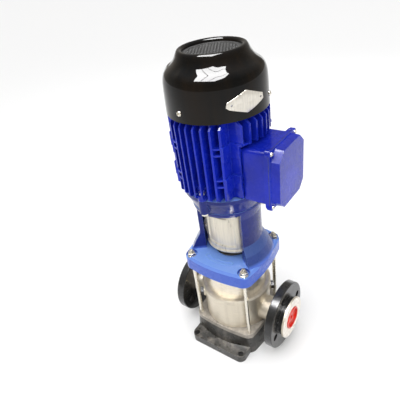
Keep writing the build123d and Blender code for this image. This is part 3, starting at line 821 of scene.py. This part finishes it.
def bead(name: str, loop: Sequence[Point], radius: float, ripple: float = 0.18) -> bpy.types.Object:
    """Lays a rippled bead of weld along a closed line.

    Args:
        name: Name of the piece.
        loop: Points of the line in millimetres.
        radius: Radius of the bead in millimetres.
        ripple: Share by which the bead swells and thins.

    Returns:
        The bead.
    """
    build = bmesh.new()
    places = [Vector(point) * MM for point in loop]
    rings = []
    sides = 8
    for index, place in enumerate(places):
        along = (places[(index + 1) % len(places)] - places[index - 1]).normalized()
        across = along.cross(Vector((0, 0, 1)))
        if across.length < 0.2:
            across = along.cross(Vector((1, 0, 0)))
        across.normalize()
        up = across.cross(along)
        size = radius * MM * (1 + ripple * math.sin(index * 2.1))
        ring = []
        for side in range(sides):
            theta = 2 * math.pi * side / sides
            ring.append(build.verts.new(place + size * (math.cos(theta) * across + math.sin(theta) * up)))
        rings.append(ring)
    bridge(build, rings, closed=True)
    bmesh.ops.recalc_face_normals(build, faces=build.faces)
    return finished(build, name, 60)


def circle(radius: float, height: float, steps: int = 160) -> list[Point]:
    """Points of a level circle about the shaft's axis, in millimetres."""
    turns = [2 * math.pi * step / steps for step in range(steps)]
    return [(radius * math.cos(turn), radius * math.sin(turn), height) for turn in turns]


def hexagon(across: float) -> list[tuple[float, float]]:
    """Corners of a hexagon.

    Args:
        across: Width across its flats in millimetres.

    Returns:
        The corners in millimetres.
    """
    reach = across / math.sqrt(3)
    turns = [math.radians(60 * corner) for corner in range(6)]
    return [(reach * math.cos(turn), reach * math.sin(turn)) for turn in turns]


def screw_head(name: str, radius: float, height: float, turn: Matrix) -> bpy.types.Object:
    """Domed screw head with a round socket.

    Args:
        name: Name of the piece.
        radius: Radius in millimetres.
        height: Height in millimetres.
        turn: Placement of its seat.

    Returns:
        The head.
    """
    profile = [(0, height * 0.35), (radius * 0.30, height * 0.35), (radius * 0.36, height),
               (radius * 0.62, height * 0.94), (radius * 0.86, height * 0.70), (radius, height * 0.30),
               (radius, 0), (0, 0)]
    return lathe(name, profile, 28, turn, closed=False)


def thread(radius: float, low: float, high: float, pitch: float = 1.25) -> list[tuple[float, float]]:
    """Profile of a threaded end, from its low end to its chamfered tip.

    Args:
        radius: Outer radius in millimetres.
        low: Lower end in millimetres.
        high: Upper end in millimetres.
        pitch: Distance between crests in millimetres.

    Returns:
        Radius and height of each point.
    """
    points = []
    height = low
    while height + pitch < high - 0.8:
        points += [(radius * 0.9, height), (radius, height + pitch / 2)]
        height += pitch
    return points + [(radius * 0.9, high - 0.8), (radius * 0.75, high), (0, high)]


def fit(piece: bpy.types.Object, slot: str, body: Body = Body.PUMP, stands_for: Sequence[str] = (),
        finish: str | None = None) -> bpy.types.Object:
    """Paints a piece, fixes it to its body and reports it.

    Args:
        piece: The piece.
        slot: Its material slot.
        body: Body that it moves with.
        stands_for: CAD nodes that it replaces.
        finish: Name of a finish that differs from the slot's own, or None.

    Returns:
        The same piece.
    """
    PAINT.paint(piece, slot, finish)
    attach(piece, body.value)
    if stands_for:
        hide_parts(*stands_for)
    LOG.info("fitted %s on %s", piece.name, body.value)
    return piece


def dress(nodes: Iterable[str]) -> None:
    """Gives CAD nodes the finish of their own slot.

    Args:
        nodes: Names of the nodes.
    """
    slots = {row["node"]: row["material_slot"] for row in frame["record"]["subparts"]}
    for name in nodes:
        PAINT.paint(frame["nodes"][name], slots[name])
        LOG.info("dressed %s with %s", name, slots[name])


# ------------------------------------------------------------------ sub-assemblies
@dataclass
class Foot:
    """Cast foot and the square casing flange on it."""

    nodes: tuple[str, ...] = ("foot", "casing_flange")

    def build(self) -> None:
        """Dresses the foot."""
        dress(self.nodes)


@dataclass
class Casing:
    """Stainless casing, sleeve, port flanges, plugs and tie rods."""

    can_radius: float = 82.0
    ring_low: float = 143.0
    sleeve_radius: float = 72.0
    sleeve_low: float = 156.0
    stub_radius: float = 30.0
    rod_place: float = 70.0
    rod_radius: float = 4.5
    rod_low: float = 52.0
    rod_top: float = 272.0
    nut_low: float = 256.0
    nut_top: float = 264.0
    nut_across: float = 16.0
    face_reach: float = 150.0
    face_outer: float = 50.6
    face_inner: float = 28.2
    face_rise: float = 0.35
    face_edge: float = 0.25
    groove_place: float = 5.0
    groove_half: float = 1.0
    groove_floor: float = 0.15
    nodes: tuple[str, ...] = (
        "pump_casing", "outer_sleeve", "head_cover", "casing_plugs", "suction_flange", "discharge_flange",
        "suction_plug", "discharge_plug", "tie_rod_washers")

    def build(self) -> None:
        """Dresses the casing and adds its welds, rods, nuts and faces."""
        dress(self.nodes)
        self.welds()
        self.rods()
        self.port_faces()

    def stub_line(self, side: int) -> list[Point]:
        """Line where a port stub meets the can.

        Args:
            side: 1 or -1 along X.

        Returns:
            Points in millimetres.
        """
        reach = self.stub_radius + 0.6
        points = []
        for step in range(90):
            theta = 2 * math.pi * step / 90
            y = reach * math.sin(theta)
            x = side * (math.sqrt((self.can_radius + 0.4) ** 2 - y * y))
            z = PORT_HEIGHT + reach * math.cos(theta)
            points.append((x, y, min(z, self.ring_low - 2)))
        return points

    def welds(self) -> None:
        """Lays the weld beads."""
        fit(bead("ring_weld", circle(self.can_radius + 0.3, self.ring_low - 0.6), 1.1), "steel_satin")
        fit(bead("can_foot_weld", circle(self.can_radius - 1.2, 63.2), 1.2), "steel_satin")
        seal_line = circle(self.sleeve_radius + 0.4, self.sleeve_low + 0.4)
        fit(bead("sleeve_seal_bead", seal_line, 0.9, 0.05), "steel_satin")
        for name, side in (("suction_stub_weld", -1), ("discharge_stub_weld", 1)):
            fit(bead(name, self.stub_line(side), 1.5), "steel_satin")

    def rods(self) -> None:
        """Makes the tie rods with threaded ends, and their nuts."""
        profile = [(0, self.rod_low), (self.rod_radius, self.rod_low), (self.rod_radius, self.nut_low)]
        profile += thread(self.rod_radius, self.nut_low, self.rod_top)
        rods = []
        nuts = []
        for x, y in CORNERS:
            place = placed(x * self.rod_place, y * self.rod_place, 0)
            rods.append(lathe("rod", profile, 24, place, closed=False))
            spin = placed(x * self.rod_place, y * self.rod_place, 0, spin=10)
            nuts.append(prism("nut", hexagon(self.nut_across), self.nut_low, self.nut_top, spin, 0.9))
        fit(join("threaded_tie_rods", rods), "zinc", stands_for=["tie_rods"])
        fit(join("chamfered_rod_nuts", nuts), "zinc", stands_for=["tie_rod_nuts"])

    def port_faces(self) -> None:
        """Lays the pale raised faces of the two ports."""
        middle = (self.face_outer + self.face_inner) / 2
        profile = [(self.face_inner, 0), (self.face_inner, self.face_edge)]
        for place in (middle - self.groove_place, middle + self.groove_place):
            profile += [(place - self.groove_half, self.face_rise), (place, self.groove_floor),
                        (place + self.groove_half, self.face_rise)]
        profile += [(self.face_outer, self.face_edge), (self.face_outer, 0)]
        rings = (("suction_face_ring", Axis.AGAINST_X, -1), ("discharge_face_ring", Axis.ALONG_X, 1))
        for name, axis, side in rings:
            ring = lathe(name, profile, 96, placed(side * self.face_reach, 0, PORT_HEIGHT, axis))
            fit(ring, "steel_satin", finish="face_cream")


@dataclass
class Hydraulics:
    """Stages, shaft and seal inside the casing."""

    nodes: tuple[str, ...] = (
        "inlet_bowl", "shaft_bush", "stage_casings", "impellers", "diffusers", "shaft_spacers", "shaft_nut",
        "pump_shaft", "clamp_ring", "seal_seat", "seal_ring", "coupling_halves", "coupling_screws",
        "coupling_pin", "shaft_key")

    def build(self) -> None:
        """Dresses the inner pieces."""
        dress(self.nodes)


@dataclass
class Stool:
    """Motor stool with its guards."""

    top: float = 262.0
    line_inner: float = 60.0
    line_outer: float = 72.0
    line_start: float = -123.0
    line_end: float = -57.0
    line_width: float = 1.8
    line_sink: float = 0.4
    line_rise: float = 1.4
    line_round: float = 0.3
    screw_x: float = 49.4
    screw_y: float = 27.25
    screw_z: float = 323.0
    bolt_reach: float = 57.5
    bolt_turns: tuple[float, ...] = (45, 135, 225, 315)
    bolt_radius: float = 4.0
    bolt_low: float = 391.0
    bolt_top: float = 420.0
    bolt_head_low: float = 384.0
    bolt_head_high: float = 391.8
    bolt_across: float = 13.0
    guard_bend: float = 63.0
    guard_middle: float = -15.0
    guard_turn: float = 47.0
    guard_low: float = 281.0
    guard_high: float = 383.0
    guard_sheet: float = 1.2
    guard_columns: int = 96
    guard_rows: int = 84
    panel_sides: tuple[float, float] = (0.66, 0.74)
    panel_foot: tuple[float, float] = (294.0, 298.0)
    panel_head: tuple[float, float] = (376.0, 380.0)
    panel_depth: float = 2.6
    groove_height: float = 371.0
    groove_ends: tuple[float, float] = (0.38, 0.44)
    groove_edges: tuple[float, float] = (0.8, 2.6)
    groove_depth: float = 2.0
    lip_edges: tuple[float, float] = (3.0, 6.0)
    lip_reach: float = 2.4
    tab_outline: Profile = (
        (42.5, 296), (46.5, 296), (50.5, 306), (53.6, 319),
        (53.6, 327), (50.5, 340), (46.5, 350), (42.5, 350))
    nodes: tuple[str, ...] = ("motor_stool",)

    def build(self) -> None:
        """Dresses the stool and adds its raised line, guards, screws and bolts."""
        dress(self.nodes)
        self.raised_line()
        self.guard("front_guard_sheet", "front_guard", -1)
        self.guard("rear_guard_sheet", "rear_guard", 1)
        self.guard_screws()
        self.bolts()

    def band(self, grow: float) -> list[tuple[float, float]]:
        """Outline of the curved panel, grown or shrunk.

        Args:
            grow: Growth in millimetres.

        Returns:
            Points in millimetres, in order.
        """
        middle = (self.line_inner + self.line_outer) / 2
        half = (self.line_outer - self.line_inner) / 2
        turn = math.degrees((half - grow) / middle)
        start, end = self.line_start + turn, self.line_end - turn
        outline = arc((0, 0), self.line_outer + grow, start, end, 30)
        cap = (middle * math.cos(math.radians(end)), middle * math.sin(math.radians(end)))
        outline += arc(cap, half + grow, end, end + 180, 8)[1:-1]
        outline += arc((0, 0), self.line_inner - grow, end, start, 30)
        cap = (middle * math.cos(math.radians(start)), middle * math.sin(math.radians(start)))
        return outline + arc(cap, half + grow, start + 180, start + 360, 8)[1:-1]

    def raised_line(self) -> None:
        """Raises the bare outline of a curved panel on the stool's flange, in a pale blue that is a painted
        highlight.
        """
        outer = self.band(0.0)
        inner = self.band(-self.line_width)
        build = bmesh.new()
        loops = []
        low = self.top - self.line_sink
        crest = self.top + self.line_rise - self.line_round
        for outline, height in ((outer, low), (outer, crest), (inner, crest), (inner, low)):
            loops.append([build.verts.new((x * MM, y * MM, height * MM)) for x, y in outline])
        bridge(build, loops)
        bmesh.ops.recalc_face_normals(build, faces=build.faces)
        # Its pale blue finish is a painted highlight.
        fit(finished(build, "panel_line", 50), "stool_blue", finish="highlit_line_blue")

    def pressing(self, across: float, height: float) -> float:
        """Depth of the pressed pattern at one point of a guard.

        Args:
            across: Place across the guard, from -1 to 1.
            height: Height in millimetres.

        Returns:
            Depth in millimetres, outwards.
        """
        across = abs(across)
        sides = 1 - eased(across, *self.panel_sides)
        panel = sides * eased(height, *self.panel_foot) * (1 - eased(height, *self.panel_head))
        length = 1 - eased(across, *self.groove_ends)
        groove = length * (1 - eased(abs(height - self.groove_height), *self.groove_edges))
        lip = 1 - eased(height, self.guard_low + self.lip_edges[0], self.guard_low + self.lip_edges[1])
        return self.lip_reach * lip - self.panel_depth * panel - self.groove_depth * groove

    def guard(self, name: str, node: str, side: int) -> None:
        """Presses one curved guard with its panel, groove, lip and pointed tabs.

        Args:
            name: Name of the piece.
            node: CAD node that it replaces.
            side: 1 or -1 along Y.
        """
        build = bmesh.new()
        columns, rows = self.guard_columns, self.guard_rows
        sheets = []
        for inset in (0.0, self.guard_sheet):
            sheet = []
            for row in range(rows + 1):
                height = self.guard_low + (self.guard_high - self.guard_low) * row / rows
                line = []
                for column in range(columns + 1):
                    across = 2 * column / columns - 1
                    theta = math.radians(across * self.guard_turn)
                    reach = self.guard_bend - inset + self.pressing(across, height)
                    x = reach * math.sin(theta)
                    y = side * (reach * math.cos(theta) + self.guard_middle)
                    line.append(build.verts.new((x * MM, y * MM, height * MM)))
                sheet.append(line)
            sheets.append(sheet)
        outer, inner = sheets
        for row in range(rows):
            for column in range(columns):
                for sheet in sheets:
                    build.faces.new([sheet[row][column], sheet[row][column + 1], sheet[row + 1][column + 1],
                                     sheet[row + 1][column]])
            for column in (0, columns):
                build.faces.new([outer[row][column], outer[row + 1][column], inner[row + 1][column],
                                 inner[row][column]])
        for column in range(columns):
            for row in (0, rows):
                build.faces.new([outer[row][column], outer[row][column + 1], inner[row][column + 1],
                                 inner[row][column]])
        bmesh.ops.recalc_face_normals(build, faces=build.faces)
        pieces = [finished(build, name, 45)]
        for hand in (1, -1):
            points = [(hand * x, z) for x, z in self.tab_outline]
            turn = Matrix.Rotation(math.radians(90), 4, "X")
            shift = Matrix.Translation(Vector((0, side * self.screw_y, 0)) * MM)
            half = self.guard_sheet / 2
            pieces.append(prism("tab", points, -half, half, shift @ turn, 0.3))
        fit(join(name, pieces), "guard_steel", stands_for=[node])

    def guard_screws(self) -> None:
        """Makes the screws of both guards."""
        heads = []
        for x, y in CORNERS:
            aim = Matrix.Rotation(math.radians(90 if y < 0 else -90), 4, "X")
            seat = Vector((x * self.screw_x, y * (self.screw_y + self.guard_sheet / 2), self.screw_z))
            heads.append(screw_head("head", 3.2, 2.0, Matrix.Translation(seat * MM) @ aim))
        fit(join("guard_screw_heads", heads), "zinc", stands_for=["guard_screws"])

    def bolts(self) -> None:
        """Makes the bolts between stool and motor."""
        bolts = []
        shank = [(0, self.bolt_low), (self.bolt_radius, self.bolt_low), (self.bolt_radius, self.bolt_top),
                 (0, self.bolt_top)]
        for turn in self.bolt_turns:
            place = about_axis(turn) @ placed(self.bolt_reach, 0, 0)
            bolts.append(lathe("shank", shank, 20, place, closed=False))
            head = hexagon(self.bolt_across)
            bolts.append(prism("head", head, self.bolt_head_low, self.bolt_head_high, place, 0.8))
        fit(join("stool_bolts", bolts), "zinc", stands_for=["stool_screws"])


@dataclass
class Motor:
    """Finned motor with its shields and inner pieces."""

    bolt_reach: float = 85.0
    bolt_turns: tuple[float, ...] = (0, 90, 180, 270)
    bolt_radius: float = 4.0
    bolt_low: float = 405.0
    tip: float = 0.8
    head_low: float = 455.0
    head_high: float = 461.0
    nut_low: float = 405.5
    nut_high: float = 412.0
    across: float = 13.0
    earth_turn: float = 27.0
    earth_reach: float = 93.6
    earth_height: float = 568.0
    earth_across: float = 7.0
    washer_radius: float = 4.6
    washer_thick: float = 0.9
    nodes: tuple[str, ...] = (
        "lower_shield", "motor_frame", "upper_shield", "stator_core", "windings", "rotor_core", "motor_shaft",
        "bearing_outer_races", "bearing_inner_races", "fan")

    def build(self) -> None:
        """Dresses the motor and adds its bolts and earth screw."""
        dress(self.nodes)
        bolts = []
        nuts = []
        shank = [(0, self.bolt_low), (self.bolt_radius - self.tip, self.bolt_low),
                 (self.bolt_radius, self.bolt_low + self.tip), (self.bolt_radius, self.head_low),
                 (0, self.head_low)]
        for turn in self.bolt_turns:
            place = about_axis(turn) @ placed(self.bolt_reach, 0, 0, spin=30)
            bolts.append(lathe("shank", shank, 20, place, closed=False))
            bolts.append(prism("head", hexagon(self.across), self.head_low, self.head_high, place, 0.8))
            nuts.append(prism("nut", hexagon(self.across), self.nut_low, self.nut_high, place, 0.8))
        fit(join("frame_bolts", bolts), "zinc", stands_for=["shield_bolts"])
        fit(join("frame_bolt_nuts", nuts), "zinc", stands_for=["shield_bolt_nuts"])
        earth = about_axis(self.earth_turn) @ placed(self.earth_reach, 0, self.earth_height, Axis.ALONG_X)
        ring = [(0, 0), (self.washer_radius, 0), (self.washer_radius, self.washer_thick),
                (0, self.washer_thick)]
        washer = lathe("washer", ring, 24, earth, closed=False)
        head = prism("head", hexagon(self.earth_across), 0.8, 3.6, earth, 0.5)
        fit(join("earth_screw", [washer, head]), "zinc")


@dataclass
class Cowl:
    """Fan cowl with its grille, screws and bare plate."""

    low: float = 609.0
    screw_turns: tuple[float, ...] = (21.0, 141.0, 261.0)
    screw_height: float = 626.0
    screw_seat: float = 97.3
    swell: float = 1.9
    swell_turns: tuple[float, ...] = (21.0, 81.0, 141.0, 201.0, 261.0, 321.0)
    swell_height: float = 688.0
    swell_width: float = 7.0
    swell_rise: float = 8.0
    swell_slope: float = 0.7
    grille_radius: float = 53.0
    grille_low: float = 708.5
    grille_high: float = 710.0
    cell: float = 6.4
    plate_wall: float = 97.6
    plate_thick: float = 0.8
    plate_steps: int = 8
    rivet_seat: float = 98.2
    rivet_profile: Profile = ((0, 1.2), (0.9, 1.0), (1.7, 0.3), (1.7, 0), (0, 0))
    rivet_turns: tuple[float, ...] = (-41.5, -5.5)
    rivet_heights: tuple[float, ...] = (638.4, 637.5)

    def outline(self) -> list[tuple[float, float]]:
        """Profile of the cowl's wall, outside first.

        Returns:
            Radius and height of each point in millimetres.
        """
        outside = [(98, self.low), (97.6, 622), (97.1, 640), (96.4, 656), (95.2, 669), (92.0, 679.5),
                   (86.0, 686.0), (79.0, 691.0), (73.0, 697.0), (68.6, 704), (65.8, 710.5), (62.6, 715.8),
                   (59.4, 716.9), (56.0, 716.4), (53.4, 714.4), (52.4, 711.5), (52.4, 707)]
        inside = [(54.0, 705.6), (63.0, 705.0), (69.4, 697), (77.0, 689.0), (84.8, 684.0), (90.2, 678.0),
                  (93.2, 668.5), (94.4, 656), (95.1, 640), (95.6, 622), (96, self.low)]
        return softened(outside) + softened(inside)

    def build(self) -> None:
        """Makes the cowl's skin with its swells, and its grille, screws, plate and rivets."""
        shell = lathe("cowl_shell", self.outline(), 192, angle=50)
        for vertex in shell.data.vertices:
            radius = math.hypot(vertex.co.x, vertex.co.y) / MM
            height = vertex.co.z / MM
            turn = math.degrees(math.atan2(vertex.co.y, vertex.co.x))
            near = min(abs((turn - place + 180) % 360 - 180) for place in self.swell_turns)
            around = math.exp(-((near / self.swell_width) ** 2))
            along = math.exp(-(((height - self.swell_height) / self.swell_rise) ** 2))
            grow = self.swell_slope * self.swell * around * along
            vertex.co.x *= (radius + grow) / radius
            vertex.co.y *= (radius + grow) / radius
            vertex.co.z += grow * MM
        fit(shell, "cowl_black", stands_for=["fan_cowl"])
        self.grille()
        self.screws()
        self.plate()
        self.rivets()

    def plate(self) -> None:
        """Bends the bare plate round the cowl."""
        corners = PLATE_OUTLINE
        steps = self.plate_steps
        outline = []
        for index, (turn, height) in enumerate(corners):
            after = corners[(index + 1) % len(corners)]
            outline += [(turn + (after[0] - turn) * k / steps, height + (after[1] - height) * k / steps)
                        for k in range(steps)]
        build = bmesh.new()
        rings = []
        middle = [sum(corner[axis] for corner in corners) / len(corners) for axis in (0, 1)]
        thick = self.plate_thick
        levels = ((1.0, 0.0), (1.0, thick - 0.2), (0.985, thick), (0.5, thick), (0.02, thick))
        for share, rise in levels:
            ring = []
            for turn, height in outline:
                theta = math.radians(middle[0] + share * (turn - middle[0]))
                level = middle[1] + share * (height - middle[1])
                reach = (self.plate_wall + rise) * MM
                ring.append(build.verts.new((reach * math.cos(theta), reach * math.sin(theta), level * MM)))
            rings.append(ring)
        bridge(build, rings)
        build.faces.new(rings[-1])
        bmesh.ops.recalc_face_normals(build, faces=build.faces)
        fit(finished(build, "bare_plate", 40), "rotor_alloy", stands_for=["rating_plate"])

    def grille(self) -> None:
        """Weaves the fine inlet grille."""
        build = bmesh.new()
        pitch = self.cell
        rows = int(self.grille_radius / (pitch * 0.866)) + 1
        for row in range(-rows, rows + 1):
            for column in range(-rows - 1, rows + 2):
                x = (column + 0.5 * (row % 2)) * pitch
                y = row * pitch * math.sqrt(0.75)
                if math.hypot(x, y) < self.grille_radius - pitch * 0.8:
                    self.cell_ring(build, x, y)
        bmesh.ops.recalc_face_normals(build, faces=build.faces)
        cells = finished(build, "cells")
        inner = self.grille_radius - 7
        section = [(inner, self.grille_low), (self.grille_radius, self.grille_low),
                   (self.grille_radius, self.grille_high), (inner, self.grille_high)]
        rim = lathe("rim", section, 96)
        grille = join("inlet_grille", [cells, rim])
        fit(grille, "black_plastic", stands_for=["cowl_grille"], finish="grille_black")

    def cell_ring(self, build: bmesh.types.BMesh, x: float, y: float) -> None:
        """Adds one open cell of the grille.

        Args:
            build: Mesh to add to.
            x: Middle of the cell in millimetres.
            y: Middle of the cell in millimetres.
        """
        loops = []
        levels = ((0.577, self.grille_low), (0.577, self.grille_high - 0.4), (0.5, self.grille_high),
                  (0.42, self.grille_low))
        for reach, height in levels:
            loop = []
            for corner in range(6):
                theta = math.radians(60 * corner + 30)
                away = self.cell * reach
                at = Vector((x + away * math.cos(theta), y + away * math.sin(theta), height))
                loop.append(build.verts.new(at * MM))
            loops.append(loop)
        bridge(build, loops, closed=True)

    def screws(self) -> None:
        """Makes the three domed screws of the cowl."""
        heads = []
        for turn in self.screw_turns:
            place = about_axis(turn) @ placed(self.screw_seat, 0, self.screw_height, Axis.ALONG_X)
            heads.append(screw_head("head", 5.0, 3.6, place))
        fit(join("cowl_screw_heads", heads), "zinc", stands_for=["cowl_screws"])

    def rivets(self) -> None:
        """Rivets the bare plate to the cowl."""
        rivets = []
        for turn, height in zip(self.rivet_turns, self.rivet_heights):
            place = about_axis(turn) @ placed(self.rivet_seat, 0, height, Axis.ALONG_X)
            rivets.append(lathe("rivet", self.rivet_profile, 18, place, closed=False))
        fit(join("plate_rivets", rivets), "rotor_alloy", finish="core_steel")


@dataclass
class TerminalBox:
    """Terminal box with its lid and cable gland."""

    rim: float = 130.0
    half_width: float = 54.0
    low: float = 434.0
    high: float = 557.0
    inset: float = 6.0
    screw_seat: float = 4.0
    ear_profile: Profile = ((0, -6.5), (6.0, -6.5), (7.4, -5.0), (7.4, 3.0), (6.6, 3.9), (0, 3.9))
    nodes: tuple[str, ...] = (
        "terminal_box", "terminal_lid", "lid_gasket", "terminal_block", "cable_gland", "gland_nut")

    def build(self) -> None:
        """Dresses the box and makes its lid's screws and the ears round them."""
        dress(self.nodes)
        heads = [screw_head("head", 4.2, 3.0, place) for place in self.lid_corners(self.screw_seat)]
        fit(join("lid_screw_heads", heads), "zinc", stands_for=["lid_screws"])
        ears = [lathe("ear", self.ear_profile, 28, place, closed=False) for place in self.lid_corners(0.0)]
        fit(join("lid_ears", ears), "motor_blue")

    def lid_corners(self, rise: float) -> list[Matrix]:
        """Places the four corners of the lid.

        Args:
            rise: Distance in front of the box's rim in millimetres.

        Returns:
            One placement for each corner.
        """
        places = []
        for side in (1, -1):
            for height in (self.low + self.inset, self.high - self.inset):
                y = side * (self.half_width - self.inset)
                places.append(placed(self.rim + rise, y, height, Axis.ALONG_X))
        return places


# ------------------------------------------------------------------ studio
@dataclass
class Studio:
    """Floor, lights and camera."""

    eye: Point = (422.8, -602.0, 885.4)
    target: Point = (-110.2, 38.1, 333.7)
    roll: float = -8.71
    lens: float = 36.4
    panes: int = 3
    pane_pitch: float = 400.0
    pane_shift: float = 40.0
    sky_strength: float = 1.75
    sky_spread: float = 70.0
    sky_direction: Point = (-0.25, 0.65, -1.6)

    def build(self) -> None:
        """Sets up the studio."""
        self.floor()
        self.lights()
        self.camera()

    def floor(self) -> None:
        """Lays a pale plain floor."""
        build = bmesh.new()
        bmesh.ops.create_grid(build, x_segments=1, y_segments=1, size=20)
        mesh = bpy.data.meshes.new("floor")
        build.to_mesh(mesh)
        build.free()
        floor = add_object("floor", mesh)
        graph = Graph("floor_white")
        graph.set(Base_Color=(0.93, 0.93, 0.93, 1), Roughness=0.9)
        mesh.materials.append(graph.material)

    def lights(self) -> None:
        """Hangs soft lights and a pale surround."""
        world = bpy.data.worlds.new("surround")
        bpy.context.scene.world = world
        world.use_nodes = True
        self.surround(world.node_tree)
        for index in range(self.panes):
            x = (index - (self.panes - 1) / 2) * self.pane_pitch + self.pane_shift
            pane = self.lamp(f"window_{index}", (x, -430, 2200), (x, -110, 600), 0.37, 1.1, 62)
            pane.visible_diffuse = False
        soft_lamps = (
            ("soft_left", (-1500, -900, 1300), (0, 0, 350), 1.0, 1.4, 6),
            ("soft_right", (1700, -700, 900), (0, 0, 350), 1.0, 1.2, 6),
            ("soft_back", (-300, 1500, 1500), (0, 0, 400), 1.4, 0.9, 8),
        )
        for name, place, aim, width, height, power in soft_lamps:
            self.lamp(name, place, aim, width, height, power).visible_glossy = False
        sun = bpy.data.objects.new("sky", bpy.data.lights.new("sky", "SUN"))
        sun.data.energy = self.sky_strength
        sun.data.angle = math.radians(self.sky_spread)
        sun.rotation_euler = Vector(self.sky_direction).to_track_quat("-Z", "Y").to_euler()
        sun.visible_glossy = False
        bpy.context.scene.collection.objects.link(sun)
        bpy.context.scene.view_settings.view_transform = "Standard"

    def surround(self, tree: bpy.types.NodeTree) -> None:
        """Shades the surround from a dim warm level band to a pale sky.

        Args:
            tree: Node tree of the world.
        """
        where = tree.nodes.new("ShaderNodeTexCoord")
        parts = tree.nodes.new("ShaderNodeSeparateXYZ")
        shade = tree.nodes.new("ShaderNodeValToRGB")
        spread = tree.nodes.new("ShaderNodeMapRange")
        spread.inputs["From Min"].default_value = -1.0
        spread.inputs["From Max"].default_value = 1.0
        tree.links.new(where.outputs["Generated"], parts.inputs[0])
        tree.links.new(parts.outputs["Z"], spread.inputs["Value"])
        tree.links.new(spread.outputs["Result"], shade.inputs["Fac"])
        ramp = shade.color_ramp
        while len(ramp.elements) < len(SKY_STOPS):
            ramp.elements.new(0.5)
        for element, (place, colour) in zip(ramp.elements, SKY_STOPS):
            element.position = place
            element.color = (*colour, 1)
        tree.links.new(shade.outputs["Color"], tree.nodes["Background"].inputs["Color"])
        tree.nodes["Background"].inputs["Strength"].default_value = 1.0

    def lamp(self, name: str, place: Point, aim: Point, width: float, height: float,
             power: float) -> bpy.types.Object:
        """Hangs one area light.

        Args:
            name: Name of the light.
            place: Place in millimetres.
            aim: Point that it faces, in millimetres.
            width: Width in metres.
            height: Height in metres.
            power: Power in watts.

        Returns:
            The light.
        """
        light = bpy.data.lights.new(name, "AREA")
        light.shape = "RECTANGLE"
        light.size = width
        light.size_y = height
        light.energy = power
        lamp = bpy.data.objects.new(name, light)
        bpy.context.scene.collection.objects.link(lamp)
        lamp.location = Vector(place) * MM
        direction = (Vector(aim) - Vector(place)).normalized()
        lamp.rotation_euler = direction.to_track_quat("-Z", "Y").to_euler()
        return lamp

    def camera(self) -> None:
        """Places the camera at its viewing angle."""
        data = bpy.data.cameras.new("camera")
        data.lens = self.lens
        data.sensor_width = 36.0
        data.clip_end = 50.0
        camera = bpy.data.objects.new("camera", data)
        bpy.context.scene.collection.objects.link(camera)
        forward = (Vector(self.target) - Vector(self.eye)).normalized()
        level = forward.cross(Vector((0, 0, 1))).normalized()
        above = level.cross(forward)
        tilt = math.radians(self.roll)
        right = math.cos(tilt) * level + math.sin(tilt) * above
        up = -math.sin(tilt) * level + math.cos(tilt) * above
        pose = Matrix((right, up, -forward)).transposed().to_4x4()
        camera.matrix_world = Matrix.Translation(Vector(self.eye) * MM) @ pose
        bpy.context.scene.camera = camera


def main() -> None:
    """Builds the pump's looks in order."""
    logging.basicConfig(level=logging.INFO, format="%(name)s: %(message)s")
    PAINT.mix_all()
    for assembly in (Foot(), Casing(), Hydraulics(), Stool(), Motor(), Cowl(), TerminalBox(), Studio()):
        assembly.build()
        LOG.info("built %s", type(assembly).__name__)


if __name__ == "__main__":
    main()
